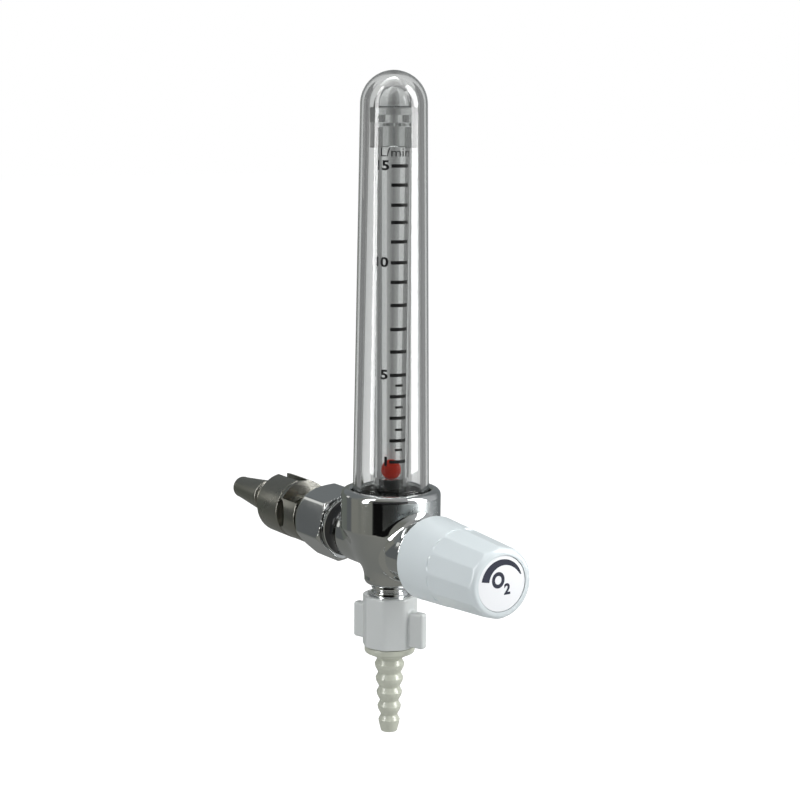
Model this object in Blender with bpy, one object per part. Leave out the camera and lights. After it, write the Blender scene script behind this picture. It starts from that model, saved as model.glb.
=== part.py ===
"""Oxygen flowmeter that plugs into a wall outlet.

Units are metres, +Z is up and -Y is the front, where the knob is. The origin is on the probe's axis,
in the plane of the collar face that seats against the wall outlet. The inlet and the valve share
that axis. The flow tube and the outlet share a vertical axis that crosses it.
"""

import math

import bmesh
import bpy
from mathutils import Matrix, Vector

MM = 0.001

# Fits
SEAT_GAP = 0.3 * MM
SLIDE_GAP = 0.3 * MM
CUT_OVERRUN = 1.0 * MM
WELD_DISTANCE = 0.0005 * MM

# Bevels on turned edges, and the rounding that leaves a hexagon's corners just short of sharp
EDGE_BEVEL = 1.0 * MM
CORNER_ROUND = 0.2 * MM

# Facets round a turned piece
FINE = 32
FLANK_STEPS = 5
DOME_STEPS = 5
SHOULDER_STEPS = 3
DOME_END = 90 - 90 / DOME_STEPS
RING_SIDES = 5
RING_SWEEP = 360 - 360 / RING_SIDES
MEDIUM = 20
COARSE = 12
SMALL = 8
TINY = 6

# Inlet probe, from the wall towards the body
NOSE_LENGTH = 26.5 * MM
NOSE_TIP_RADIUS = 5.0 * MM
NOSE_TIP_LENGTH = 2.4 * MM
NOSE_TIP_ROUND = 0.8 * MM
NOSE_BASE_RADIUS = 7.4 * MM
NOSE_BASE_BEVEL = 0.6 * MM
LATCH_GROOVE_RADIUS = 6.0 * MM
LATCH_GROOVE_LENGTH = 13.2 * MM
COLLAR_RADIUS = 13.6 * MM
COLLAR_LENGTH = 18.0 * MM
COLLAR_BEVEL = 0.5 * MM
KEYWAY_WIDTH = 4.6 * MM
KEYWAY_DEPTH = 2.6 * MM
KEYWAY_ANGLE = math.radians(90)
NECK_RADIUS = 5.6 * MM
NECK_LENGTH = 16.4 * MM
PROBE_BORE_RADIUS = 2.2 * MM
PROBE_SOCKET_RADIUS = 4.1 * MM
PROBE_SOCKET_DEPTH = 8.0 * MM

# Index ring on the neck: a thin flange that goes on as an open sleeve, with a round notch at its side
RING_STEP = 0.2 * MM
RING_LENGTH = 15.0 * MM
RING_FLANGE_THICKNESS = 2.1 * MM
RING_OPEN_FROM = math.radians(30)
RING_OPEN_TO = math.radians(150)
RING_NOTCH_RADIUS = 6.5 * MM
RING_NOTCH_DEPTH = 3.0 * MM

# Probe tail, held in the union nut by its flange
TAIL_RADIUS = 6.2 * MM
TAIL_FLANGE_RADIUS = 8.1 * MM
TAIL_FLANGE_THICKNESS = 2.9 * MM
TAIL_BORE_RADIUS = 2.4 * MM
INLET_WASHER_THICKNESS = 1.2 * MM

# Union nut
NUT_FLAT_RADIUS = 14.0 * MM
NUT_TURN = math.radians(164.6)
NUT_SHOULDER_RADIUS = 13.4 * MM
NUT_SHOULDER_LENGTH = 2.0 * MM
NUT_CONE_LENGTH = 5.5 * MM
NUT_BACK_WALL = 5.1 * MM

# Body: cup, bosses and passages
CUP_RADIUS = 21.0 * MM
CUP_RIM_HEIGHT = 23.4 * MM
CUP_LIP_ROUND = 2.6 * MM
CUP_WALL_FOOT = 7.0 * MM
CUP_FLANK_POWER = 0.78
CUP_RECESS_RADIUS = 17.6 * MM
CUP_FLOOR_HEIGHT = 9.0 * MM
WAIST_HEIGHT = -10.5 * MM
OUTLET_BOSS_RADIUS = 11.0 * MM
OUTLET_BOSS_END = -17.5 * MM
OUTLET_BOSS_BEVEL = 2.2 * MM
INLET_BOSS_RADIUS = 13.0 * MM
INLET_BOSS_END = 34.2 * MM
THREAD_RADIUS = 8.2 * MM
INLET_THREAD_LENGTH = 13.4 * MM
INLET_BORE_RADIUS = 3.0 * MM
INLET_BORE_OVERREACH = 1.0 * MM
FILTER_SOCKET_RADIUS = 5.5 * MM
FILTER_SOCKET_DEPTH = 6.0 * MM
FILTER_THICKNESS = 3.6 * MM
FEED_BORE_RADIUS = 2.0 * MM
VALVE_BOSS_RADIUS = 13.0 * MM
VALVE_BOSS_END = 26.0 * MM
VALVE_CHAMBER_RADIUS = 5.5 * MM
VALVE_SEAT_FACE = 7.0 * MM
VALVE_SEAT_THICKNESS = 2.4 * MM
VALVE_SEAT_RADIUS = 4.2 * MM
VALVE_SEAT_BORE = 1.3 * MM
VALVE_PORT_RADIUS = 1.5 * MM
RETURN_PORT_RADIUS = 1.5 * MM
RETURN_PORT_PLACE = 13.4 * MM
OUTLET_DRILL_PLACE = 4.0 * MM
OUTLET_DRILL_RADIUS = 1.5 * MM
OUTLET_SOCKET_RADIUS = 6.6 * MM
OUTLET_SOCKET_ROOF = -8.0 * MM

# Float seat in the cup floor
SEAT_STEM_RADIUS = 6.0 * MM
SEAT_STEM_LENGTH = 4.6 * MM
SEAT_FLANGE_RADIUS = 9.6 * MM
SEAT_FLANGE_THICKNESS = 7.7 * MM
SEAT_SPIGOT_RADIUS = 5.2 * MM
SEAT_SPIGOT_TOP = 28.0 * MM
SEAT_BORE_RADIUS = 2.4 * MM
TUBE_SEAL_THICKNESS = 1.4 * MM

# Flow tube and float
FLOW_TUBE_RADIUS = 7.5 * MM
FLOW_TUBE_TOP = 173.6 * MM
FLOW_BORE_FOOT_RADIUS = 4.5 * MM
FLOW_BORE_TOP_RADIUS = 5.6 * MM
FLOAT_RADIUS = 4.2 * MM
STOP_THICKNESS = 1.2 * MM
STOP_RADIUS = 7.2 * MM
STOP_BORE_RADIUS = 2.5 * MM

# Plug that centres the flow tube in the cover
PLUG_SIDE_CLEARANCE = 0.8 * MM
PLUG_GRIP = 8.4 * MM
PLUG_RISE = 7.8 * MM
PLUG_DOME_STEP = 1.4 * MM
PLUG_DOME_HEIGHT = 8.7 * MM
PLUG_CHAMBER_RADIUS = 4.6 * MM
PLUG_CHAMBER_HEIGHT = 3.0 * MM
PLUG_GROOVE_SHARE = 0.55
PLUG_GROOVES = 4
PLUG_GROOVE_TURN = math.radians(47)
GAS_HOLE_RADIUS = 0.9 * MM

# Cover tube: tapered, with a domed end
COVER_FOOT_RADIUS = 16.2 * MM
COVER_TOP_RADIUS = 13.8 * MM
COVER_WALL = 3.2 * MM
COVER_DOME_RISE = 1.2 * MM
COVER_RING_HEIGHT = 12.0 * MM
COVER_RING_SPACING = 4.4 * MM
O_RING_SECTION = 0.75 * MM
O_RING_GROOVE = 0.45 * MM

# Valve, measured from the tube axis towards the knob
BONNET_THREAD_RADIUS = 5.2 * MM
BONNET_INNER_END = 14.0 * MM
BONNET_FLANGE_RADIUS = 11.4 * MM
BONNET_FLANGE_THICKNESS = 3.2 * MM
BONNET_NECK_RADIUS = 8.2 * MM
BONNET_NECK_LENGTH = 5.0 * MM
BONNET_CHAMBER_RADIUS = 4.3 * MM
BONNET_CHAMBER_DEPTH = 5.6 * MM
GLAND_SKIRT_LENGTH = 2.4 * MM
GLAND_HEAD_FLAT_RADIUS = 7.0 * MM
GLAND_HEAD_THICKNESS = 3.4 * MM
SPINDLE_RADIUS = 3.0 * MM
SPINDLE_END = 61.0 * MM
SPINDLE_SHOULDER = 13.0 * MM
NEEDLE_TIP_RADIUS = 0.45 * MM
NEEDLE_TIP_PLACE = 7.6 * MM
NEEDLE_ROOT_RADIUS = 1.9 * MM

# Knob
KNOB_BACK = 32.0 * MM
KNOB_FACE = 80.2 * MM
KNOB_BACK_RADIUS = 17.5 * MM
KNOB_FRONT_RADIUS = 14.6 * MM
KNOB_SHOULDER_LENGTH = 3.4 * MM
KNOB_RIM_RADIUS = 12.4 * MM
KNOB_WALL = 2.4 * MM
KNOB_CAVITY_DEPTH = 14.0 * MM
KNOB_CAVITY_DRAFT = 1.2 * MM
KNOB_HUB_RADIUS = 7.2 * MM
KNOB_HUB_BACK = 42.0 * MM
GRIP_FLATS = 12
GRIP_FLAT_DEPTH = 0.5 * MM
GRIP_FLAT_WIDTH = 7.9 * MM
GRIP_FLAT_BACK = 51.0 * MM
GRIP_CORNER_RADIUS = 3.0 * MM
DISC_RADIUS = 11.0 * MM
DISC_THICKNESS = 0.9 * MM
DISC_SINK = 0.3 * MM
SCREW_HEAD_RADIUS = 3.4 * MM
SCREW_HEAD_THICKNESS = 2.6 * MM
SCREW_RADIUS = 1.5 * MM
SCREW_LENGTH = 9.0 * MM
SCREW_SEAT_PLACE = 64.0 * MM

# Outlet spigot
SPIGOT_NECK_RADIUS = 7.9 * MM
SPIGOT_NECK_LENGTH = 4.6 * MM
SPIGOT_GROOVE_DEPTH = 0.5 * MM
SPIGOT_GROOVE_FLOOR = 0.6 * MM
SPIGOT_STEM_RADIUS = 6.3 * MM
SPIGOT_BORE_RADIUS = 3.0 * MM
OUTLET_WASHER_THICKNESS = 1.2 * MM

# Wing nut
WING_NUT_TOP = -22.4 * MM
WING_NUT_BOTTOM = -44.4 * MM
WING_NUT_VERTEX_RADIUS = 11.8 * MM
WING_NUT_SIDES = 8
WING_NUT_TURN = math.radians(-68.3)
WING_NUT_FLOOR = 4.0 * MM
WING_NUT_BEVEL = 0.8 * MM
WING_THICKNESS = 4.0 * MM
WING_TIP = 18.0 * MM
WING_HEIGHT = 15.4 * MM
WING_BOTTOM = -43.6 * MM
WING_ROUND = 1.2 * MM

# Hose tail
TAIL_HEAD_THICKNESS = 2.0 * MM
HOSE_NECK_RADIUS = 6.6 * MM
HOSE_FLANGE_RADIUS = 10.7 * MM
HOSE_FLANGE_THICKNESS = 2.6 * MM
HOSE_FLANGE_CONE = 2.0 * MM
HOSE_BORE_RADIUS = 2.2 * MM
BARBS = 5
BARB_FIRST_PLACE = -53.1 * MM
BARB_PITCH = 6.2 * MM
BARB_FIRST_RADIUS = 6.35 * MM
BARB_LAST_RADIUS = 4.6 * MM
BARB_FALL = 1.15 * MM
BARB_ROOT_SHARE = 0.42
BARB_CREST_SHARE = 0.06
BARB_BACK_SHARE = 0.18
BARB_BACK_FALL = 0.25
BARB_END = -82.6 * MM

# Sizes and places that follow from the ones above
FITTED_RADIUS = THREAD_RADIUS + SLIDE_GAP
RING_RADIUS = COLLAR_RADIUS - RING_STEP
PLUG_RADIUS = COVER_TOP_RADIUS - COVER_WALL - PLUG_SIDE_CLEARANCE
PLUG_DOME_RADIUS = PLUG_RADIUS - PLUG_DOME_STEP
PLUG_FOOT = FLOW_TUBE_TOP - PLUG_GRIP
PLUG_SHOULDER = FLOW_TUBE_TOP + PLUG_RISE
COVER_DOME_CENTRE = PLUG_SHOULDER + COVER_DOME_RISE
NUT_HOLD = INLET_WASHER_THICKNESS + SEAT_GAP + TAIL_FLANGE_THICKNESS + SEAT_GAP
NUT_LENGTH = INLET_THREAD_LENGTH + NUT_HOLD + NUT_BACK_WALL
TUBE_TO_NECK_END = INLET_BOSS_END + SEAT_GAP + NUT_LENGTH + SEAT_GAP
TUBE_PLACE = -(COLLAR_LENGTH + NECK_LENGTH + TUBE_TO_NECK_END)
TOWARDS_WALL = Matrix.Rotation(math.radians(-90), 4, "X")
TOWARDS_KNOB = Matrix.Rotation(math.radians(90), 4, "X")
PANEL_UPRIGHT = Matrix(((0, 0, 1, 0), (0, 1, 0, 0), (1, 0, 0, 0), (0, 0, 0, 1)))


def clear_scene():
    for obj in list(bpy.data.objects):
        bpy.data.objects.remove(obj, do_unlink=True)


def material(name, colour, roughness, metallic=0.0, alpha=1.0):
    made = bpy.data.materials.new(name)
    made.use_nodes = True
    shader = made.node_tree.nodes["Principled BSDF"]
    shader.inputs["Base Color"].default_value = (*colour, 1.0)
    shader.inputs["Roughness"].default_value = roughness
    shader.inputs["Metallic"].default_value = metallic
    shader.inputs["Alpha"].default_value = alpha
    made.diffuse_color = (*colour, alpha)
    return made


def object_from(mesh_data, name, finish):
    mesh = bpy.data.meshes.new(name)
    bmesh.ops.recalc_face_normals(mesh_data, faces=mesh_data.faces)
    mesh_data.to_mesh(mesh)
    mesh_data.free()
    obj = bpy.data.objects.new(name, mesh)
    bpy.context.scene.collection.objects.link(obj)
    if finish:
        mesh.materials.append(finish)
    mesh.shade_smooth()
    mesh.set_sharp_from_angle(angle=math.radians(32))
    return obj


def turned(name, outline, finish, facets=MEDIUM):
    """A closed outline of (radius, height) points spun round Z."""
    shape = bmesh.new()
    points = [shape.verts.new((radius, 0, height)) for radius, height in outline]
    edges = [
        shape.edges.new((points[i], points[(i + 1) % len(points)]))
        for i in range(len(points))
        if outline[i][0] > 0 or outline[(i + 1) % len(points)][0] > 0
    ]
    bmesh.ops.spin(
        shape,
        geom=points + edges,
        axis=(0, 0, 1),
        cent=(0, 0, 0),
        angle=2 * math.pi,
        steps=facets,
        use_merge=True,
    )
    bmesh.ops.remove_doubles(shape, verts=shape.verts, dist=WELD_DISTANCE)
    return object_from(shape, name, finish)


def prism(name, corners, bottom, top, finish):
    """A closed outline of (x, y) corners raised from one height to another."""
    shape = bmesh.new()
    face = shape.faces.new([shape.verts.new((x, y, bottom)) for x, y in corners])
    raised = bmesh.ops.extrude_face_region(shape, geom=[face])
    moved = [item for item in raised["geom"] if isinstance(item, bmesh.types.BMVert)]
    bmesh.ops.translate(shape, verts=moved, vec=(0, 0, top - bottom))
    return object_from(shape, name, finish)


def polygon(sides, radius, turn):
    return [
        (
            radius * math.cos(turn + 2 * math.pi * i / sides),
            radius * math.sin(turn + 2 * math.pi * i / sides),
        )
        for i in range(sides)
    ]


def arc(centre_r, centre_z, radius, start, end, steps):
    """Points on an arc, from one angle to another, both in degrees from +radius."""
    return [
        (
            centre_r + radius * math.cos(math.radians(start + (end - start) * i / steps)),
            centre_z + radius * math.sin(math.radians(start + (end - start) * i / steps)),
        )
        for i in range(steps + 1)
    ]


def ring_outline(inner, outer, bottom, top, bevel=0.0):
    if not bevel:
        return [(inner, bottom), (outer, bottom), (outer, top), (inner, top)]
    return [
        (inner, bottom),
        (outer - bevel, bottom),
        (outer, bottom + bevel),
        (outer, top - bevel),
        (outer - bevel, top),
        (inner, top),
    ]


def rod(name, radius, bottom, top, finish=None, facets=COARSE):
    return turned(name, ring_outline(0.0, radius, bottom, top), finish, facets)


def as_helper(obj):
    obj.hide_render = True
    obj.display_type = "WIRE"
    return obj


def combine(obj, tool, operation):
    change = obj.modifiers.new(tool.name, "BOOLEAN")
    change.operation = operation
    change.solver = "EXACT"
    change.object = as_helper(tool)


def cut(obj, tool):
    combine(obj, tool, "DIFFERENCE")


def place_up(obj):
    """Puts a piece made round Z on the flow tube's axis."""
    obj.location = (0, TUBE_PLACE, 0)
    return obj


def place_towards_wall(obj, start=0.0):
    """Turns a piece made along +Z so that it runs towards the wall, from the tube's axis."""
    obj.matrix_world = Matrix.Translation((0, TUBE_PLACE + start, 0)) @ TOWARDS_WALL
    return obj


def place_towards_knob(obj, start=0.0):
    """Turns a piece made along +Z so that it runs towards the knob, from the tube's axis."""
    obj.matrix_world = Matrix.Translation((0, TUBE_PLACE - start, 0)) @ TOWARDS_KNOB
    return obj


def body_casting(finish):
    lip = CUP_RADIUS - CUP_LIP_ROUND
    blend = CUP_RADIUS - OUTLET_BOSS_RADIUS
    drop = CUP_WALL_FOOT - WAIST_HEIGHT
    shares = [i / FLANK_STEPS for i in range(1, FLANK_STEPS + 1)]
    flank = [
        (OUTLET_BOSS_RADIUS + blend * share, WAIST_HEIGHT + drop * share**CUP_FLANK_POWER)
        for share in shares
    ]
    outline = [
        (0.0, OUTLET_BOSS_END),
        (OUTLET_BOSS_RADIUS - OUTLET_BOSS_BEVEL, OUTLET_BOSS_END),
        (OUTLET_BOSS_RADIUS, OUTLET_BOSS_END + OUTLET_BOSS_BEVEL),
        (OUTLET_BOSS_RADIUS, WAIST_HEIGHT),
        *flank,
        *arc(lip, CUP_RIM_HEIGHT - CUP_LIP_ROUND, CUP_LIP_ROUND, 0, 90, 4),
        (CUP_RECESS_RADIUS, CUP_RIM_HEIGHT),
        (CUP_RECESS_RADIUS, CUP_FLOOR_HEIGHT),
        (0.0, CUP_FLOOR_HEIGHT),
    ]
    casting = place_up(turned("body_casting", outline, finish, FINE))
    arm = [
        (0.0, -VALVE_BOSS_END),
        (VALVE_BOSS_RADIUS - EDGE_BEVEL, -VALVE_BOSS_END),
        (VALVE_BOSS_RADIUS, EDGE_BEVEL - VALVE_BOSS_END),
        (VALVE_BOSS_RADIUS, -VALVE_BOSS_END / 2),
        (OUTLET_BOSS_RADIUS, -OUTLET_BOSS_RADIUS / 2),
        (OUTLET_BOSS_RADIUS, OUTLET_BOSS_RADIUS / 2),
        (INLET_BOSS_RADIUS, INLET_BOSS_END / 2),
        (INLET_BOSS_RADIUS, INLET_BOSS_END - EDGE_BEVEL),
        (INLET_BOSS_RADIUS - EDGE_BEVEL, INLET_BOSS_END),
        (THREAD_RADIUS, INLET_BOSS_END),
        (THREAD_RADIUS, INLET_BOSS_END + INLET_THREAD_LENGTH - EDGE_BEVEL),
        (THREAD_RADIUS - EDGE_BEVEL, INLET_BOSS_END + INLET_THREAD_LENGTH),
        (0.0, INLET_BOSS_END + INLET_THREAD_LENGTH),
    ]
    arms = place_towards_wall(turned("casting_arms", arm, finish, FINE))
    combine(casting, arms, "UNION")
    recess_top = CUP_RIM_HEIGHT + CUT_OVERRUN
    recess = rod("cup_recess", CUP_RECESS_RADIUS, CUP_FLOOR_HEIGHT, recess_top, None, FINE)
    cut(casting, place_up(recess))
    end = INLET_BOSS_END + INLET_THREAD_LENGTH
    inlet = [
        (0.0, -INLET_BORE_OVERREACH),
        (INLET_BORE_RADIUS, -INLET_BORE_OVERREACH),
        (INLET_BORE_RADIUS, end - FILTER_SOCKET_DEPTH),
        (FILTER_SOCKET_RADIUS, end - FILTER_SOCKET_DEPTH),
        (FILTER_SOCKET_RADIUS, end + CUT_OVERRUN),
        (0.0, end + CUT_OVERRUN),
    ]
    cut(casting, place_towards_wall(turned("inlet_passage", inlet, None, COARSE)))
    chamber_start = VALVE_SEAT_FACE + SEAT_GAP + VALVE_SEAT_THICKNESS
    valve = [
        (0.0, OUTLET_DRILL_PLACE),
        (VALVE_PORT_RADIUS, OUTLET_DRILL_PLACE),
        (VALVE_PORT_RADIUS, VALVE_SEAT_FACE),
        (VALVE_SEAT_RADIUS + SLIDE_GAP, VALVE_SEAT_FACE),
        (VALVE_SEAT_RADIUS + SLIDE_GAP, chamber_start),
        (VALVE_CHAMBER_RADIUS, chamber_start),
        (VALVE_CHAMBER_RADIUS, VALVE_BOSS_END + CUT_OVERRUN),
        (0.0, VALVE_BOSS_END + CUT_OVERRUN),
    ]
    cut(casting, place_towards_knob(turned("valve_passage", valve, None, COARSE)))
    seat_floor = CUP_FLOOR_HEIGHT - SEAT_STEM_LENGTH
    feed = [
        (0.0, 0.0),
        (FEED_BORE_RADIUS, 0.0),
        (FEED_BORE_RADIUS, seat_floor),
        (SEAT_STEM_RADIUS + SLIDE_GAP, seat_floor),
        (SEAT_STEM_RADIUS + SLIDE_GAP, CUP_FLOOR_HEIGHT + CUT_OVERRUN),
        (0.0, CUP_FLOOR_HEIGHT + CUT_OVERRUN),
    ]
    cut(casting, place_up(turned("feed_passage", feed, None, MEDIUM)))
    back = rod("return_passage", RETURN_PORT_RADIUS, 0.0, CUP_FLOOR_HEIGHT + CUT_OVERRUN)
    back.location = (0, TUBE_PLACE - RETURN_PORT_PLACE, 0)
    cut(casting, back)
    drill = rod("outlet_drill", OUTLET_DRILL_RADIUS, OUTLET_SOCKET_ROOF - CUT_OVERRUN, 0.0)
    drill.location = (0, TUBE_PLACE - OUTLET_DRILL_PLACE, 0)
    cut(casting, drill)
    mouth = OUTLET_BOSS_END - CUT_OVERRUN
    socket = rod("outlet_socket", OUTLET_SOCKET_RADIUS, mouth, OUTLET_SOCKET_ROOF, None, MEDIUM)
    cut(casting, place_up(socket))
    return casting


def probe_body(finish):
    collar = COLLAR_LENGTH
    neck = collar + NECK_LENGTH
    outline = [
        (PROBE_BORE_RADIUS, -LATCH_GROOVE_LENGTH - NOSE_LENGTH),
        (NOSE_TIP_RADIUS - NOSE_TIP_ROUND, -LATCH_GROOVE_LENGTH - NOSE_LENGTH),
        (NOSE_TIP_RADIUS, -LATCH_GROOVE_LENGTH - NOSE_LENGTH + NOSE_TIP_ROUND),
        (NOSE_TIP_RADIUS, -LATCH_GROOVE_LENGTH - NOSE_LENGTH + NOSE_TIP_LENGTH),
        (NOSE_BASE_RADIUS, -LATCH_GROOVE_LENGTH - NOSE_BASE_BEVEL),
        (NOSE_BASE_RADIUS - NOSE_BASE_BEVEL, -LATCH_GROOVE_LENGTH),
        (LATCH_GROOVE_RADIUS, -LATCH_GROOVE_LENGTH),
        (LATCH_GROOVE_RADIUS, 0.0),
        (COLLAR_RADIUS - COLLAR_BEVEL, 0.0),
        (COLLAR_RADIUS, COLLAR_BEVEL),
        (COLLAR_RADIUS, collar - COLLAR_BEVEL),
        (COLLAR_RADIUS - COLLAR_BEVEL, collar),
        (NECK_RADIUS, collar),
        (NECK_RADIUS, neck),
        (PROBE_SOCKET_RADIUS, neck),
        (PROBE_SOCKET_RADIUS, neck - PROBE_SOCKET_DEPTH),
        (PROBE_BORE_RADIUS, neck - PROBE_SOCKET_DEPTH),
    ]
    probe = turned("probe_body", outline, finish, FINE)
    probe.matrix_world = TOWARDS_KNOB
    half = KEYWAY_WIDTH / 2
    floor = COLLAR_RADIUS - KEYWAY_DEPTH
    top = COLLAR_RADIUS + CUT_OVERRUN
    keyway = prism(
        "keyway",
        [(floor, -half), (top, -half), (top, half), (floor, half)],
        -CUT_OVERRUN,
        COLLAR_LENGTH + CUT_OVERRUN,
        None,
    )
    keyway.matrix_world = TOWARDS_KNOB @ Matrix.Rotation(KEYWAY_ANGLE, 4, "Z")
    cut(probe, keyway)
    return probe


def index_ring(finish):
    """A flange against the collar; beyond it the top is cut open, and one side has a round notch."""
    start = COLLAR_LENGTH + SEAT_GAP
    end = start + RING_LENGTH
    outline = ring_outline(NECK_RADIUS + SLIDE_GAP, RING_RADIUS, start, end, COLLAR_BEVEL)
    ring = turned("index_ring", outline, finish, FINE)
    ring.matrix_world = TOWARDS_KNOB
    reach = 2 * RING_RADIUS
    middle = (RING_OPEN_FROM + RING_OPEN_TO) / 2
    wedge = [
        (0.0, 0.0),
        *[(reach * math.cos(a), reach * math.sin(a)) for a in (RING_OPEN_FROM, middle, RING_OPEN_TO)],
    ]
    opening = prism("ring_opening", wedge, start + RING_FLANGE_THICKNESS, end + CUT_OVERRUN, None)
    opening.matrix_world = TOWARDS_KNOB
    cut(ring, opening)
    notch = rod("ring_notch", RING_NOTCH_RADIUS, RING_RADIUS - RING_NOTCH_DEPTH, reach, None, MEDIUM)
    notch.matrix_world = Matrix.Translation((0, -start, 0)) @ Matrix.Rotation(-math.pi / 2, 4, "Y")
    cut(ring, notch)
    return ring


def probe_tail(finish):
    face = COLLAR_LENGTH + NECK_LENGTH
    flange_start = face + SEAT_GAP + NUT_BACK_WALL + SEAT_GAP
    flange_end = flange_start + TAIL_FLANGE_THICKNESS
    outline = [
        (TAIL_BORE_RADIUS, face - PROBE_SOCKET_DEPTH + SEAT_GAP),
        (PROBE_SOCKET_RADIUS - SLIDE_GAP, face - PROBE_SOCKET_DEPTH + SEAT_GAP),
        (PROBE_SOCKET_RADIUS - SLIDE_GAP, face + SEAT_GAP),
        (TAIL_RADIUS, face + SEAT_GAP),
        (TAIL_RADIUS, flange_start),
        (TAIL_FLANGE_RADIUS, flange_start),
        (TAIL_FLANGE_RADIUS, flange_end),
        (TAIL_BORE_RADIUS, flange_end),
    ]
    tail = turned("probe_tail", outline, finish, MEDIUM)
    tail.matrix_world = TOWARDS_KNOB
    return tail


def inlet_washer(finish):
    end = INLET_BOSS_END + INLET_THREAD_LENGTH + SEAT_GAP
    outline = ring_outline(
        TAIL_BORE_RADIUS, TAIL_FLANGE_RADIUS, end, end + INLET_WASHER_THICKNESS
    )
    return place_towards_wall(turned("inlet_washer", outline, finish, MEDIUM))


def inlet_filter(finish):
    start = INLET_BOSS_END + INLET_THREAD_LENGTH - FILTER_SOCKET_DEPTH + SEAT_GAP
    outline = ring_outline(
        0.0, FILTER_SOCKET_RADIUS - SLIDE_GAP, start, start + FILTER_THICKNESS, SEAT_GAP
    )
    return place_towards_wall(turned("inlet_filter", outline, finish, COARSE))


def inlet_nut(finish):
    """A hexagon with a round shoulder at the back: a turned blank with its six flats cut on it."""
    vertex = NUT_FLAT_RADIUS / math.cos(math.pi / 6)
    blank = vertex - CORNER_ROUND
    front = INLET_BOSS_END + SEAT_GAP
    back = front + NUT_LENGTH
    outline = [
        (FITTED_RADIUS, front),
        (blank - EDGE_BEVEL, front),
        (blank, front + EDGE_BEVEL),
        (blank, back - NUT_SHOULDER_LENGTH - NUT_CONE_LENGTH),
        (NUT_SHOULDER_RADIUS, back - NUT_SHOULDER_LENGTH),
        (NUT_SHOULDER_RADIUS, back),
        (TAIL_RADIUS + SLIDE_GAP, back),
        (TAIL_RADIUS + SLIDE_GAP, back - NUT_BACK_WALL),
        (FITTED_RADIUS, back - NUT_BACK_WALL),
    ]
    nut = place_towards_wall(turned("inlet_nut", outline, finish, FINE))
    turn = math.pi - NUT_TURN + math.pi / 6
    flats = prism(
        "nut_flats", polygon(6, vertex, turn), front - CUT_OVERRUN, back + CUT_OVERRUN, None
    )
    combine(nut, place_towards_wall(flats), "INTERSECT")
    return nut


def float_seat(finish):
    floor = CUP_FLOOR_HEIGHT + SEAT_GAP
    flange_top = floor + SEAT_FLANGE_THICKNESS
    outline = [
        (SEAT_BORE_RADIUS, CUP_FLOOR_HEIGHT - SEAT_STEM_LENGTH + SEAT_GAP),
        (SEAT_STEM_RADIUS, CUP_FLOOR_HEIGHT - SEAT_STEM_LENGTH + SEAT_GAP),
        (SEAT_STEM_RADIUS, floor),
        (SEAT_FLANGE_RADIUS, floor),
        (SEAT_FLANGE_RADIUS, flange_top - EDGE_BEVEL),
        (SEAT_FLANGE_RADIUS - EDGE_BEVEL, flange_top),
        (SEAT_SPIGOT_RADIUS, flange_top),
        (SEAT_SPIGOT_RADIUS, SEAT_SPIGOT_TOP),
        (SEAT_BORE_RADIUS, SEAT_SPIGOT_TOP),
    ]
    return place_up(turned("float_seat", outline, finish, MEDIUM))


def tube_seal(finish):
    bottom = CUP_FLOOR_HEIGHT + SEAT_GAP + SEAT_FLANGE_THICKNESS + SEAT_GAP
    outline = ring_outline(
        SEAT_SPIGOT_RADIUS + SLIDE_GAP, FLOW_TUBE_RADIUS, bottom, bottom + TUBE_SEAL_THICKNESS
    )
    return place_up(turned("tube_seal", outline, finish, COARSE))


def flow_tube(finish):
    """A thick tube whose bore widens upwards, so that the float rises with the flow."""
    foot = CUP_FLOOR_HEIGHT + SEAT_FLANGE_THICKNESS + TUBE_SEAL_THICKNESS + 3 * SEAT_GAP
    ledge = SEAT_SPIGOT_TOP + SEAT_GAP
    outline = [
        (SEAT_SPIGOT_RADIUS + SLIDE_GAP, foot),
        (FLOW_TUBE_RADIUS, foot),
        (FLOW_TUBE_RADIUS, FLOW_TUBE_TOP),
        (FLOW_BORE_TOP_RADIUS, FLOW_TUBE_TOP),
        (FLOW_BORE_FOOT_RADIUS, ledge),
        (SEAT_SPIGOT_RADIUS + SLIDE_GAP, ledge),
    ]
    return place_up(turned("flow_tube", outline, finish, MEDIUM))


def float_rest_height():
    drop = math.sqrt(FLOAT_RADIUS**2 - SEAT_BORE_RADIUS**2)
    return SEAT_SPIGOT_TOP + drop + SEAT_GAP


def float_ball(finish):
    shape = bmesh.new()
    bmesh.ops.create_uvsphere(shape, u_segments=COARSE, v_segments=COARSE // 2, radius=FLOAT_RADIUS)
    ball = object_from(shape, "float_ball", finish)
    ball.location = (0, TUBE_PLACE, float_rest_height())
    return ball


def float_stop(finish):
    bottom = FLOW_TUBE_TOP + SEAT_GAP
    outline = ring_outline(STOP_BORE_RADIUS, STOP_RADIUS, bottom, bottom + STOP_THICKNESS)
    return place_up(turned("float_stop", outline, finish, COARSE))


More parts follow.
